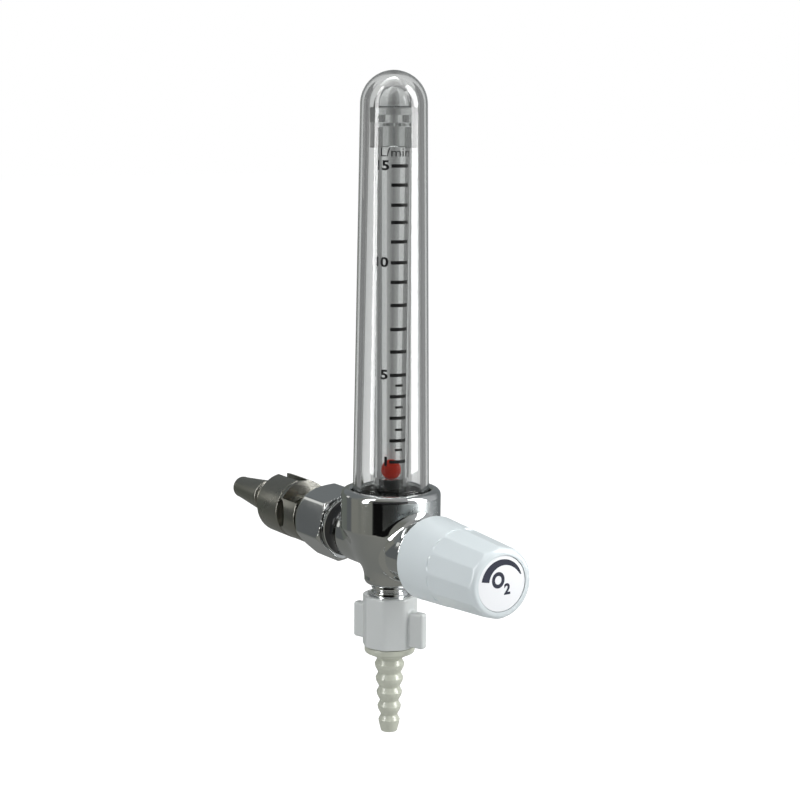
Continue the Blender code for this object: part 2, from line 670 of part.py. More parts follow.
def top_plug(finish):
    """A bullet-shaped plug: it fits over the tube's end, and grooves in its side let the gas past."""
    chamber = FLOW_TUBE_TOP + STOP_THICKNESS + 2 * SEAT_GAP
    turns = [math.pi / 2 * i / DOME_STEPS for i in range(DOME_STEPS)]
    dome = [
        (PLUG_DOME_RADIUS * math.cos(a), PLUG_SHOULDER + PLUG_DOME_HEIGHT * math.sin(a))
        for a in turns
    ]
    outline = [
        (FLOW_TUBE_RADIUS + SLIDE_GAP, PLUG_FOOT),
        (PLUG_RADIUS, PLUG_FOOT),
        (PLUG_RADIUS, PLUG_SHOULDER - SEAT_GAP),
        (PLUG_RADIUS - SEAT_GAP, PLUG_SHOULDER),
        *dome,
        (0.0, PLUG_SHOULDER + PLUG_DOME_HEIGHT),
        (0.0, chamber + PLUG_CHAMBER_HEIGHT),
        (PLUG_CHAMBER_RADIUS, chamber + PLUG_CHAMBER_HEIGHT),
        (PLUG_CHAMBER_RADIUS, chamber),
        (FLOW_TUBE_RADIUS + SLIDE_GAP, chamber),
    ]
    plug = place_up(turned("top_plug", outline, finish, MEDIUM))
    foot = PLUG_FOOT - CUT_OVERRUN
    top = PLUG_SHOULDER + CUT_OVERRUN
    inner = PLUG_CHAMBER_RADIUS - CUT_OVERRUN
    outer = PLUG_RADIUS + CUT_OVERRUN
    middle = chamber + PLUG_CHAMBER_HEIGHT / 2
    groove_radius = (PLUG_RADIUS - FLOW_TUBE_RADIUS - SLIDE_GAP) * PLUG_GROOVE_SHARE
    for i in range(PLUG_GROOVES):
        angle = PLUG_GROOVE_TURN + 2 * math.pi * i / PLUG_GROOVES
        groove = rod(f"plug_groove_{i}", groove_radius, foot, top, None, SMALL)
        away = Vector((math.cos(angle), math.sin(angle), 0)) * PLUG_RADIUS
        groove.location = Vector((0, TUBE_PLACE, 0)) + away
        cut(plug, groove)
        hole = rod(f"plug_hole_{i}", GAS_HOLE_RADIUS, inner, outer, None, TINY)
        hole.matrix_world = (
            Matrix.Translation((0, TUBE_PLACE, middle))
            @ Matrix.Rotation(angle, 4, "Z")
            @ Matrix.Rotation(math.pi / 2, 4, "Y")
        )
        cut(plug, hole)
    return plug


def cover_radius(height):
    """The cover's outer radius: a straight taper from its foot to the start of the dome."""
    foot = CUP_FLOOR_HEIGHT + SEAT_GAP
    share = (height - foot) / (COVER_DOME_CENTRE - foot)
    return COVER_FOOT_RADIUS + (COVER_TOP_RADIUS - COVER_FOOT_RADIUS) * share


def o_ring_heights():
    return [COVER_RING_HEIGHT + i * COVER_RING_SPACING for i in range(2)]


def cover_tube(finish):
    foot = CUP_FLOOR_HEIGHT + SEAT_GAP
    groove_half = O_RING_SECTION + O_RING_GROOVE / 2
    grooves = []
    for height in o_ring_heights():
        floor = cover_radius(height) - O_RING_GROOVE
        grooves += [
            (cover_radius(height - groove_half), height - groove_half),
            (floor, height - groove_half),
            (floor, height + groove_half),
            (cover_radius(height + groove_half), height + groove_half),
        ]
    outline = [
        (COVER_FOOT_RADIUS - COVER_WALL, foot),
        (COVER_FOOT_RADIUS, foot),
        *grooves,
        *arc(0.0, COVER_DOME_CENTRE, COVER_TOP_RADIUS, 0, DOME_END, DOME_STEPS - 1),
        (0.0, COVER_DOME_CENTRE + COVER_TOP_RADIUS),
        (0.0, COVER_DOME_CENTRE + COVER_TOP_RADIUS - COVER_WALL),
        *arc(0.0, COVER_DOME_CENTRE, COVER_TOP_RADIUS - COVER_WALL, DOME_END, 0, DOME_STEPS - 1),
    ]
    return place_up(turned("cover_tube", outline, finish, FINE))


def cover_o_ring(index, finish):
    height = o_ring_heights()[index]
    inner = cover_radius(height) - O_RING_GROOVE + SEAT_GAP
    section = O_RING_SECTION / 2
    outline = arc(inner + section, height, section, 0, RING_SWEEP, RING_SIDES - 1)
    return place_up(turned(f"cover_o_ring_{index + 1}", outline, finish, MEDIUM))


def valve_seat(finish):
    start = VALVE_SEAT_FACE + SEAT_GAP
    outline = ring_outline(
        VALVE_SEAT_BORE, VALVE_SEAT_RADIUS, start, start + VALVE_SEAT_THICKNESS - SEAT_GAP
    )
    return place_towards_knob(turned("valve_seat", outline, finish, COARSE))


def bonnet_face():
    return VALVE_BOSS_END + SEAT_GAP + BONNET_FLANGE_THICKNESS + BONNET_NECK_LENGTH


def valve_bonnet(finish):
    flange = VALVE_BOSS_END + SEAT_GAP
    neck = flange + BONNET_FLANGE_THICKNESS
    face = bonnet_face()
    running = SPINDLE_RADIUS + SLIDE_GAP
    outline = [
        (running, BONNET_INNER_END),
        (BONNET_THREAD_RADIUS, BONNET_INNER_END),
        (BONNET_THREAD_RADIUS, flange),
        (BONNET_FLANGE_RADIUS, flange),
        (BONNET_FLANGE_RADIUS, neck - SEAT_GAP),
        (BONNET_FLANGE_RADIUS - SEAT_GAP, neck),
        (BONNET_NECK_RADIUS, neck),
        (BONNET_NECK_RADIUS, face),
        (BONNET_CHAMBER_RADIUS, face),
        (BONNET_CHAMBER_RADIUS, face - BONNET_CHAMBER_DEPTH),
        (running, face - BONNET_CHAMBER_DEPTH),
    ]
    return place_towards_knob(turned("valve_bonnet", outline, finish, MEDIUM))


def spindle_o_ring(finish):
    floor = bonnet_face() - BONNET_CHAMBER_DEPTH
    depth = BONNET_CHAMBER_DEPTH - GLAND_SKIRT_LENGTH - 2 * SEAT_GAP
    section = (BONNET_CHAMBER_RADIUS - SPINDLE_RADIUS - 2 * SLIDE_GAP) / 2
    centre = SPINDLE_RADIUS + SLIDE_GAP + section
    outline = arc(centre, floor + depth / 2, section, 0, RING_SWEEP, RING_SIDES - 1)
    return place_towards_knob(turned("spindle_o_ring", outline, finish, COARSE))


def gland_nut(finish):
    face = bonnet_face()
    head = face + SEAT_GAP
    vertex = GLAND_HEAD_FLAT_RADIUS / math.cos(math.pi / 6)
    blank = vertex - CORNER_ROUND
    running = SPINDLE_RADIUS + SLIDE_GAP
    outline = [
        (running, face - GLAND_SKIRT_LENGTH),
        (BONNET_CHAMBER_RADIUS - SLIDE_GAP, face - GLAND_SKIRT_LENGTH),
        (BONNET_CHAMBER_RADIUS - SLIDE_GAP, head),
        (blank, head),
        (blank, head + GLAND_HEAD_THICKNESS - SEAT_GAP),
        (blank - EDGE_BEVEL, head + GLAND_HEAD_THICKNESS),
        (running, head + GLAND_HEAD_THICKNESS),
    ]
    nut = place_towards_knob(turned("gland_nut", outline, finish, MEDIUM))
    flats = prism(
        "gland_flats",
        polygon(6, vertex, 0.0),
        face - GLAND_SKIRT_LENGTH - CUT_OVERRUN,
        head + GLAND_HEAD_THICKNESS + CUT_OVERRUN,
        None,
    )
    combine(nut, place_towards_knob(flats), "INTERSECT")
    return nut


def valve_spindle(finish):
    outline = [
        (0.0, NEEDLE_TIP_PLACE),
        (NEEDLE_TIP_RADIUS, NEEDLE_TIP_PLACE),
        (NEEDLE_ROOT_RADIUS, SPINDLE_SHOULDER - EDGE_BEVEL),
        (SPINDLE_RADIUS, SPINDLE_SHOULDER),
        (SPINDLE_RADIUS, SPINDLE_END),
        (SCREW_RADIUS + SLIDE_GAP, SPINDLE_END),
        (SCREW_RADIUS + SLIDE_GAP, SPINDLE_END - SCREW_LENGTH),
        (0.0, SPINDLE_END - SCREW_LENGTH),
    ]
    return place_towards_knob(turned("valve_spindle", outline, finish, COARSE))


def knob(finish):
    """A tapered moulding, hollow at the back, with shallow grip flats that stop short of its skirt."""
    shoulder = KNOB_FACE - KNOB_SHOULDER_LENGTH
    skirt = KNOB_BACK_RADIUS - KNOB_WALL
    cavity_end = KNOB_BACK + KNOB_CAVITY_DEPTH
    disc_floor = KNOB_FACE - DISC_SINK - DISC_THICKNESS - SEAT_GAP
    spindle_hole = SPINDLE_RADIUS + SLIDE_GAP
    hole_end = SPINDLE_END + SEAT_GAP
    head_floor = SCREW_SEAT_PLACE
    drop = KNOB_FRONT_RADIUS - KNOB_RIM_RADIUS
    turns = [math.pi / 2 * i / SHOULDER_STEPS for i in range(SHOULDER_STEPS + 1)]
    rounding = [
        (KNOB_RIM_RADIUS + drop * math.cos(a), shoulder + KNOB_SHOULDER_LENGTH * math.sin(a))
        for a in turns
    ]
    outline = [
        (skirt, KNOB_BACK),
        (KNOB_BACK_RADIUS - SEAT_GAP, KNOB_BACK),
        (KNOB_BACK_RADIUS, KNOB_BACK + SEAT_GAP),
        *rounding,
        (DISC_RADIUS + SLIDE_GAP, KNOB_FACE),
        (DISC_RADIUS + SLIDE_GAP, disc_floor),
        (SCREW_HEAD_RADIUS + SLIDE_GAP, disc_floor),
        (SCREW_HEAD_RADIUS + SLIDE_GAP, head_floor),
        (SCREW_RADIUS + SLIDE_GAP, head_floor),
        (SCREW_RADIUS + SLIDE_GAP, hole_end),
        (spindle_hole, hole_end),
        (spindle_hole, KNOB_HUB_BACK),
        (KNOB_HUB_RADIUS, KNOB_HUB_BACK),
        (KNOB_HUB_RADIUS, cavity_end),
        (skirt - KNOB_CAVITY_DRAFT, cavity_end),
    ]
    shape = place_towards_knob(turned("knob", outline, finish, FINE))
    slope = math.atan2(KNOB_BACK_RADIUS - KNOB_FRONT_RADIUS, shoulder - KNOB_BACK)
    back_radius = KNOB_BACK_RADIUS - math.tan(slope) * (GRIP_FLAT_BACK - KNOB_BACK)
    length = KNOB_FACE - GRIP_FLAT_BACK
    half = GRIP_FLAT_WIDTH / 2
    left = arc(GRIP_CORNER_RADIUS, GRIP_CORNER_RADIUS - half, GRIP_CORNER_RADIUS, 180, 270, 2)
    right = arc(GRIP_CORNER_RADIUS, half - GRIP_CORNER_RADIUS, GRIP_CORNER_RADIUS, 90, 180, 2)
    panel = [*left, (length, -half), (length, half), *right]
    for i in range(GRIP_FLATS):
        flat = prism(f"knob_flat_{i}", panel, 0.0, KNOB_WALL, None)
        flat.matrix_world = (
            Matrix.Translation((0, TUBE_PLACE - GRIP_FLAT_BACK, 0))
            @ TOWARDS_KNOB
            @ Matrix.Rotation(2 * math.pi * (i + 0.5) / GRIP_FLATS, 4, "Z")
            @ Matrix.Translation((back_radius - GRIP_FLAT_DEPTH, 0, 0))
            @ Matrix.Rotation(-slope, 4, "Y")
            @ PANEL_UPRIGHT
        )
        cut(shape, flat)
    return shape


def knob_disc(finish):
    front = KNOB_FACE - DISC_SINK
    outline = ring_outline(0.0, DISC_RADIUS, front - DISC_THICKNESS, front, DISC_SINK)
    return place_towards_knob(turned("knob_disc", outline, finish, FINE))


def knob_screw(finish):
    head = SCREW_SEAT_PLACE + SEAT_GAP
    outline = [
        (0.0, SPINDLE_END - SCREW_LENGTH + SEAT_GAP),
        (SCREW_RADIUS, SPINDLE_END - SCREW_LENGTH + SEAT_GAP),
        (SCREW_RADIUS, head),
        (SCREW_HEAD_RADIUS, head),
        (SCREW_HEAD_RADIUS, head + SCREW_HEAD_THICKNESS),
        (0.0, head + SCREW_HEAD_THICKNESS),
    ]
    return place_towards_knob(turned("knob_screw", outline, finish, COARSE))


def tail_head_top():
    return WING_NUT_BOTTOM + WING_NUT_FLOOR + SEAT_GAP + TAIL_HEAD_THICKNESS


def spigot_end():
    """The thread stops where it leaves room for the washer above the hose tail's head."""
    return tail_head_top() + OUTLET_WASHER_THICKNESS + 2 * SEAT_GAP


def outlet_spigot(finish):
    shoulder = OUTLET_BOSS_END - SEAT_GAP
    neck = shoulder - SPIGOT_NECK_LENGTH
    middle = neck + SPIGOT_NECK_LENGTH / 2
    groove = SPIGOT_GROOVE_FLOOR / 2
    lip = groove + SPIGOT_GROOVE_DEPTH
    outline = [
        (SPIGOT_BORE_RADIUS, spigot_end()),
        (THREAD_RADIUS - EDGE_BEVEL, spigot_end()),
        (THREAD_RADIUS, spigot_end() + EDGE_BEVEL),
        (THREAD_RADIUS, neck),
        (SPIGOT_NECK_RADIUS, neck),
        (SPIGOT_NECK_RADIUS, middle - lip),
        (SPIGOT_NECK_RADIUS - SPIGOT_GROOVE_DEPTH, middle - groove),
        (SPIGOT_NECK_RADIUS - SPIGOT_GROOVE_DEPTH, middle + groove),
        (SPIGOT_NECK_RADIUS, middle + lip),
        (SPIGOT_NECK_RADIUS, shoulder),
        (SPIGOT_STEM_RADIUS, shoulder),
        (SPIGOT_STEM_RADIUS, OUTLET_SOCKET_ROOF - SEAT_GAP),
        (SPIGOT_BORE_RADIUS, OUTLET_SOCKET_ROOF - SEAT_GAP),
    ]
    return place_up(turned("outlet_spigot", outline, finish, MEDIUM))


def outlet_washer(finish):
    top = spigot_end() - SEAT_GAP
    outline = ring_outline(
        SPIGOT_BORE_RADIUS, THREAD_RADIUS - SLIDE_GAP, top - OUTLET_WASHER_THICKNESS, top
    )
    return place_up(turned("outlet_washer", outline, finish, MEDIUM))


def wing_nut(finish):
    """An eight-sided sleeve with two flat wings and a lip at the bottom that bears on the tail."""
    bore = FITTED_RADIUS
    outline = [
        (HOSE_NECK_RADIUS + SLIDE_GAP, WING_NUT_BOTTOM),
        (WING_NUT_VERTEX_RADIUS - WING_NUT_BEVEL, WING_NUT_BOTTOM),
        (WING_NUT_VERTEX_RADIUS, WING_NUT_BOTTOM + WING_NUT_BEVEL),
        (WING_NUT_VERTEX_RADIUS, WING_NUT_TOP - WING_NUT_BEVEL),
        (WING_NUT_VERTEX_RADIUS - WING_NUT_BEVEL, WING_NUT_TOP),
        (bore, WING_NUT_TOP),
        (bore, WING_NUT_BOTTOM + WING_NUT_FLOOR),
        (HOSE_NECK_RADIUS + SLIDE_GAP, WING_NUT_BOTTOM + WING_NUT_FLOOR),
    ]
    nut = place_up(turned("wing_nut", outline, finish, FINE))
    half_side = math.pi / WING_NUT_SIDES
    sides = prism(
        "wing_nut_sides",
        polygon(WING_NUT_SIDES, WING_NUT_VERTEX_RADIUS + CORNER_ROUND, WING_NUT_TURN + half_side),
        WING_NUT_BOTTOM - CUT_OVERRUN,
        WING_NUT_TOP + CUT_OVERRUN,
        None,
    )
    combine(nut, place_up(sides), "INTERSECT")
    inner = (FITTED_RADIUS + WING_NUT_VERTEX_RADIUS * math.cos(half_side)) / 2
    for side in range(2):
        wing = wing_blade(f"wing_{side}", inner)
        wing.matrix_world = Matrix.Translation((0, TUBE_PLACE, 0)) @ Matrix.Rotation(
            WING_NUT_TURN + side * math.pi, 4, "Z"
        )
        combine(nut, wing, "UNION")
    return nut


def wing_blade(name, inner):
    """One wing, standing along +X from a radius inside the sleeve's wall."""
    top = WING_BOTTOM + WING_HEIGHT
    half = WING_THICKNESS / 2
    shape = bmesh.new()
    corners = [(inner, WING_BOTTOM), (WING_TIP, WING_BOTTOM), (WING_TIP, top), (inner, top)]
    face = shape.faces.new([shape.verts.new((x, -half, z)) for x, z in corners])
    raised = bmesh.ops.extrude_face_region(shape, geom=[face])
    moved = [item for item in raised["geom"] if isinstance(item, bmesh.types.BMVert)]
    bmesh.ops.translate(shape, verts=moved, vec=(0, WING_THICKNESS, 0))
    outer = [edge for edge in shape.edges if all(v.co.x > inner for v in edge.verts)]
    bmesh.ops.bevel(shape, geom=outer, offset=WING_ROUND, segments=2, profile=0.5, affect="EDGES")
    return object_from(shape, name, None)


def barb_outline():
    """Rounded barbs: each swells to a crest and falls back, and the crests get smaller downwards."""
    points = []
    for i in range(BARBS):
        crest = BARB_FIRST_PLACE - i * BARB_PITCH
        radius = BARB_FIRST_RADIUS + (BARB_LAST_RADIUS - BARB_FIRST_RADIUS) * i / (BARBS - 1)
        points += [
            (radius - BARB_FALL, crest + BARB_ROOT_SHARE * BARB_PITCH),
            (radius, crest + BARB_CREST_SHARE * BARB_PITCH),
            (radius - BARB_BACK_FALL * BARB_FALL, crest - BARB_BACK_SHARE * BARB_PITCH),
        ]
    points.append((BARB_LAST_RADIUS - BARB_FALL, BARB_END + SEAT_GAP))
    points.append((BARB_LAST_RADIUS - BARB_FALL - SEAT_GAP, BARB_END))
    return points


def hose_tail(finish):
    head_top = tail_head_top()
    flange_top = WING_NUT_BOTTOM - SEAT_GAP
    flange_rim = flange_top - HOSE_FLANGE_THICKNESS
    outline = [
        (HOSE_BORE_RADIUS, head_top),
        (THREAD_RADIUS - SLIDE_GAP, head_top),
        (THREAD_RADIUS - SLIDE_GAP, head_top - TAIL_HEAD_THICKNESS),
        (HOSE_NECK_RADIUS, head_top - TAIL_HEAD_THICKNESS),
        (HOSE_NECK_RADIUS, flange_top),
        (HOSE_FLANGE_RADIUS - SEAT_GAP, flange_top),
        (HOSE_FLANGE_RADIUS, flange_top - SEAT_GAP),
        (HOSE_FLANGE_RADIUS, flange_rim),
        (BARB_FIRST_RADIUS, flange_rim - HOSE_FLANGE_CONE),
        *barb_outline(),
        (HOSE_BORE_RADIUS, BARB_END),
    ]
    return place_up(turned("hose_tail", outline, finish, MEDIUM))


def build():
    clear_scene()
    chrome = material("chrome", (0.62, 0.63, 0.64), 0.08, 1.0)
    nickel = material("nickel", (0.34, 0.34, 0.30), 0.32, 1.0)
    brass = material("brass", (0.72, 0.55, 0.28), 0.3, 1.0)
    clear = material("clear_acrylic", (0.86, 0.88, 0.88), 0.05, 0.0, 0.35)
    white = material("white_plastic", (0.74, 0.78, 0.80), 0.25)
    grey_white = material("nut_plastic", (0.60, 0.62, 0.62), 0.35)
    cream = material("cream_plastic", (0.66, 0.66, 0.58), 0.4)
    rubber = material("black_rubber", (0.03, 0.03, 0.03), 0.7)
    red = material("red_float", (0.75, 0.06, 0.02), 0.3)
    bronze = material("sintered_bronze", (0.45, 0.32, 0.18), 0.8, 1.0)

    body_casting(chrome)
    probe_body(nickel)
    index_ring(nickel)
    probe_tail(brass)
    inlet_washer(rubber)
    inlet_filter(bronze)
    inlet_nut(chrome)
    float_seat(clear)
    tube_seal(rubber)
    flow_tube(clear)
    float_ball(red)
    float_stop(clear)
    top_plug(clear)
    cover_tube(clear)
    for index in range(2):
        cover_o_ring(index, rubber)
    valve_seat(brass)
    valve_bonnet(chrome)
    gland_nut(brass)
    spindle_o_ring(rubber)
    valve_spindle(brass)
    knob(white)
    knob_disc(white)
    knob_screw(brass)
    outlet_spigot(chrome)
    outlet_washer(rubber)
    wing_nut(grey_white)
    hose_tail(cream)
    bpy.context.view_layer.update()


build()
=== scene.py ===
import math

import bmesh
import bpy
import numpy as np
from mathutils import Matrix, Vector


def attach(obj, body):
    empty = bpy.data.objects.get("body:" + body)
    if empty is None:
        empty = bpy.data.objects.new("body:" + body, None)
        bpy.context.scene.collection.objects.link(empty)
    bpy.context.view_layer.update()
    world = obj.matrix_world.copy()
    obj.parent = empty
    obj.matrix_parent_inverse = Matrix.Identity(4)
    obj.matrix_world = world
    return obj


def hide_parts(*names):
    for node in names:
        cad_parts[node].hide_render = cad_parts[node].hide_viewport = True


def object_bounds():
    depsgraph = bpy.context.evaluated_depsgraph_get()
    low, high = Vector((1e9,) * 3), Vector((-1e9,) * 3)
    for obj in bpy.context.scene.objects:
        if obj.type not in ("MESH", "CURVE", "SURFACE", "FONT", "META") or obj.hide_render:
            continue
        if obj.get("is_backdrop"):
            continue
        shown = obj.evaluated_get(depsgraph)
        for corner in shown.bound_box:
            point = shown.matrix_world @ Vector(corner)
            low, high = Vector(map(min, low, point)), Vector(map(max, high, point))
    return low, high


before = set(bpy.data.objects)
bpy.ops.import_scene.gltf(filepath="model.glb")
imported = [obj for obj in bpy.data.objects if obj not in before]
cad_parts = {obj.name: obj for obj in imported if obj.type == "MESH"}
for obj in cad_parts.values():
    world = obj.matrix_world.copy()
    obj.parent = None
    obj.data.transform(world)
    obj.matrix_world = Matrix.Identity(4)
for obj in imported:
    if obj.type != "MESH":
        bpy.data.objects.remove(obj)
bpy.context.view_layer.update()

MM = 0.001
TUBE_Y = -92.4
TOWARDS_WALL = Matrix.Rotation(math.radians(-90), 4, "X")
TOWARDS_KNOB = Matrix.Rotation(math.radians(90), 4, "X")
AT_TUBE = Matrix.Translation((0, TUBE_Y * MM, 0))
AT_INLET = AT_TUBE @ TOWARDS_WALL
AT_KNOB = AT_TUBE @ TOWARDS_KNOB

# Materials


def new_material(name):
    mat = bpy.data.materials.new(name)
    mat.use_nodes = True
    tree = mat.node_tree
    return mat, tree, tree.nodes["Principled BSDF"]


def add(tree, kind, **values):
    node = tree.nodes.new(kind)
    for key, value in values.items():
        setattr(node, key, value)
    return node


def noise(tree, scale, detail, stretch=(1, 1, 1)):
    place = add(tree, "ShaderNodeTexCoord")
    mapping = add(tree, "ShaderNodeMapping")
    mapping.inputs["Scale"].default_value = stretch
    made = add(tree, "ShaderNodeTexNoise")
    made.inputs["Scale"].default_value = scale
    made.inputs["Detail"].default_value = detail
    tree.links.new(place.outputs["Object"], mapping.inputs["Vector"])
    tree.links.new(mapping.outputs["Vector"], made.inputs["Vector"])
    return made


def ramp(tree, source, stops):
    made = add(tree, "ShaderNodeValToRGB")
    bar = made.color_ramp
    while len(bar.elements) < len(stops):
        bar.elements.new(0.5)
    for element, (place, colour) in zip(bar.elements, stops):
        element.position = place
        element.color = (*colour, 1)
    tree.links.new(source, made.inputs["Fac"])
    return made


def bump(tree, shader, source, strength, distance):
    made = add(tree, "ShaderNodeBump")
    made.inputs["Strength"].default_value = strength
    made.inputs["Distance"].default_value = distance
    tree.links.new(source, made.inputs["Height"])
    tree.links.new(made.outputs["Normal"], shader.inputs["Normal"])


def level(value):
    return (value, value, value)


def metal(name, colour, roughness, spread, grain, grain_scale, stretch=(1, 1, 1)):
    mat, tree, shader = new_material(name)
    shader.inputs["Base Color"].default_value = (*colour, 1)
    shader.inputs["Metallic"].default_value = 1
    cloud = noise(tree, 60, 4)
    stops = [(0.35, level(roughness)), (0.7, level(roughness + spread))]
    rough = ramp(tree, cloud.outputs["Fac"], stops)
    tree.links.new(rough.outputs["Color"], shader.inputs["Roughness"])
    fine = noise(tree, grain_scale, 2, stretch)
    bump(tree, shader, fine.outputs["Fac"], grain, 0.0002)
    return mat


def plastic(name, colour, shade, roughness, coat=0.0, gloss=0.5):
    mat, tree, shader = new_material(name)
    cloud = noise(tree, 35, 4)
    tint = ramp(tree, cloud.outputs["Fac"], [(0.3, shade), (0.7, colour)])
    tree.links.new(tint.outputs["Color"], shader.inputs["Base Color"])
    shader.inputs["Roughness"].default_value = roughness
    shader.inputs["Coat Weight"].default_value = coat
    shader.inputs["Coat Roughness"].default_value = 0.12
    shader.inputs["Specular IOR Level"].default_value = gloss
    fine = noise(tree, 900, 2)
    bump(tree, shader, fine.outputs["Fac"], 0.06, 0.0001)
    return mat


def clear(name, density):
    """Clear plastic, greyed by a volume that absorbs light at this density."""
    mat, tree, shader = new_material(name)
    shader.inputs["Base Color"].default_value = (0.97, 0.975, 0.972, 1)
    shader.inputs["Transmission Weight"].default_value = 1
    shader.inputs["IOR"].default_value = 1.49
    cloud = noise(tree, 40, 3, (1, 1, 0.12))
    rough = ramp(tree, cloud.outputs["Fac"], [(0.4, level(0)), (0.75, level(0.02))])
    tree.links.new(rough.outputs["Color"], shader.inputs["Roughness"])
    bump(tree, shader, cloud.outputs["Fac"], 0.02, 0.0004)
    haze = add(tree, "ShaderNodeVolumeAbsorption")
    haze.inputs["Color"].default_value = (0.5, 0.515, 0.51, 1)
    haze.inputs["Density"].default_value = density
    tree.links.new(haze.outputs["Volume"], tree.nodes["Material Output"].inputs["Volume"])
    return mat


chrome = metal("chrome_plate", (0.60, 0.61, 0.61), 0.05, 0.03, 0.02, 500)
# Near-black chrome, used only for the painted dark reflection laid over the inlet waist
chrome_painted_reflection = metal("chrome_painted_dark_reflection", (0.08, 0.08, 0.085), 0.07, 0.03, 0.02, 500)
chrome_bright = metal("chrome_plate_bright", (0.72, 0.73, 0.74), 0.04, 0.03, 0.02, 500)
nickel = metal("turned_nickel", (0.31, 0.305, 0.275), 0.27, 0.06, 0.08, 900, (1, 12, 1))
nickel_fine = metal("fine_turned_nickel", (0.31, 0.305, 0.275), 0.22, 0.04, 0.04, 900, (1, 12, 1))
brass = metal("turned_brass", (0.72, 0.52, 0.24), 0.25, 0.1, 0.1, 700)
bronze = metal("sintered_bronze", (0.40, 0.28, 0.16), 0.6, 0.2, 0.5, 1200)
knob_white = plastic("knob_white", (0.585, 0.635, 0.645), (0.57, 0.62, 0.63), 0.28, 0.25)
disc_white = plastic("disc_white", (0.76, 0.77, 0.78), (0.74, 0.75, 0.76), 0.35)
nut_white = plastic("nut_white", (0.51, 0.53, 0.52), (0.495, 0.515, 0.505), 0.3, 0.1)
cream = plastic("tail_cream", (0.46, 0.475, 0.40), (0.44, 0.455, 0.38), 0.28, 0.2)
red = plastic("float_red", (0.95, 0.06, 0.02), (0.88, 0.045, 0.015), 0.4, 0.0, 0.1)
# The ball is seen through two greyed layers, so it has a weak painted glow, painted light standing in
# for the lamp light the glass keeps from it
red_shader = red.node_tree.nodes["Principled BSDF"]
red_shader.inputs["Emission Color"].default_value = (0.9, 0.02, 0.005, 1)
red_shader.inputs["Emission Strength"].default_value = 0.12
ink = plastic("ink", (0.012, 0.012, 0.013), (0.008, 0.008, 0.009), 0.45)
ink_blue = plastic("ink_blue_grey", (0.024, 0.026, 0.042), (0.02, 0.022, 0.036), 0.45, 0.0, 0.2)
rubber = plastic("seal_rubber", (0.025, 0.025, 0.025), (0.018, 0.018, 0.018), 0.6)
silicone = plastic("seal_silicone", (0.20, 0.20, 0.195), (0.17, 0.17, 0.165), 0.4)
cover_clear = clear("cover_clear", 120)
tube_clear = clear("tube_clear", 50)

# Shapes

NEARLY_STRAIGHT = math.radians(88)
MOST_OF_A_SIDE = 0.45


def finished(mesh_data, name, mat, place=None, angle=34):
    mesh = bpy.data.meshes.new(name)
    bmesh.ops.recalc_face_normals(mesh_data, faces=mesh_data.faces)
    mesh_data.to_mesh(mesh)
    mesh_data.free()
    obj = bpy.data.objects.new(name, mesh)
    bpy.context.scene.collection.objects.link(obj)
    if mat:
        mesh.materials.append(mat)
    mesh.shade_smooth()
    mesh.set_sharp_from_angle(angle=math.radians(angle))
    if place is not None:
        obj.matrix_world = place
    return obj


def rounded(outline, radii, steps=4):
    """An outline whose corners are replaced by arcs; a radius of 0 keeps the corner."""
    count = len(outline)
    made = []
    for i, point in enumerate(outline):
        radius = radii[i] if isinstance(radii, (list, tuple)) else radii
        here = np.array(point, float)
        before = np.array(outline[i - 1], float) - here
        after = np.array(outline[(i + 1) % count], float) - here
        reach_before, reach_after = np.linalg.norm(before), np.linalg.norm(after)
        if radius <= 0 or reach_before < 1e-9 or reach_after < 1e-9 or point[0] <= 0:
            made.append(tuple(here))
            continue
        before, after = before / reach_before, after / reach_after
        half = math.acos(max(-1, min(1, float(before @ after)))) / 2
        if half > NEARLY_STRAIGHT:
            made.append(tuple(here))
            continue
        reach = MOST_OF_A_SIDE * min(reach_before, reach_after)
        setback = min(radius / math.tan(half), reach)
        start, end = here + before * setback, here + after * setback
        for k in range(steps + 1):
            share = k / steps
            bend = 2 * share * (1 - share) * here
            made.append(tuple((1 - share) ** 2 * start + bend + share**2 * end))
    return made


def lathe(name, outline, mat, place=None, facets=128, angle=34):
    shape = bmesh.new()
    points = [shape.verts.new((r * MM, 0, z * MM)) for r, z in outline]
    count = len(points)
    edges = [
        shape.edges.new((points[i], points[(i + 1) % count]))
        for i in range(count)
        if outline[i][0] > 0 or outline[(i + 1) % count][0] > 0
    ]
    bmesh.ops.spin(
        shape,
        geom=points + edges,
        axis=(0, 0, 1),
        cent=(0, 0, 0),
        angle=2 * math.pi,
        steps=facets,
        use_merge=True,
    )
    bmesh.ops.remove_doubles(shape, verts=shape.verts, dist=1e-7)
    return finished(shape, name, mat, place, angle)


def prism(name, corners, bottom, top, place):
    shape = bmesh.new()
    face = shape.faces.new([shape.verts.new((x * MM, y * MM, bottom * MM)) for x, y in corners])
    raised = bmesh.ops.extrude_face_region(shape, geom=[face])
    moved = [item for item in raised["geom"] if isinstance(item, bmesh.types.BMVert)]
    bmesh.ops.translate(shape, verts=moved, vec=(0, 0, (top - bottom) * MM))
    return finished(shape, name, None, place)


def apply_modifiers(obj):
    bpy.context.view_layer.update()
    evaluated = obj.evaluated_get(bpy.context.evaluated_depsgraph_get())
    mesh = bpy.data.meshes.new_from_object(evaluated)
    obj.modifiers.clear()
    obj.data = mesh
    return obj


def boolean(obj, tool, operation="DIFFERENCE"):
    change = obj.modifiers.new("cut", "BOOLEAN")
    change.operation = operation
    change.solver = "EXACT"
    change.object = tool
    apply_modifiers(obj)
    bpy.data.objects.remove(tool, do_unlink=True)


def smooth_by(obj, angle):
    obj.data.shade_smooth()
    obj.data.set_sharp_from_angle(angle=math.radians(angle))


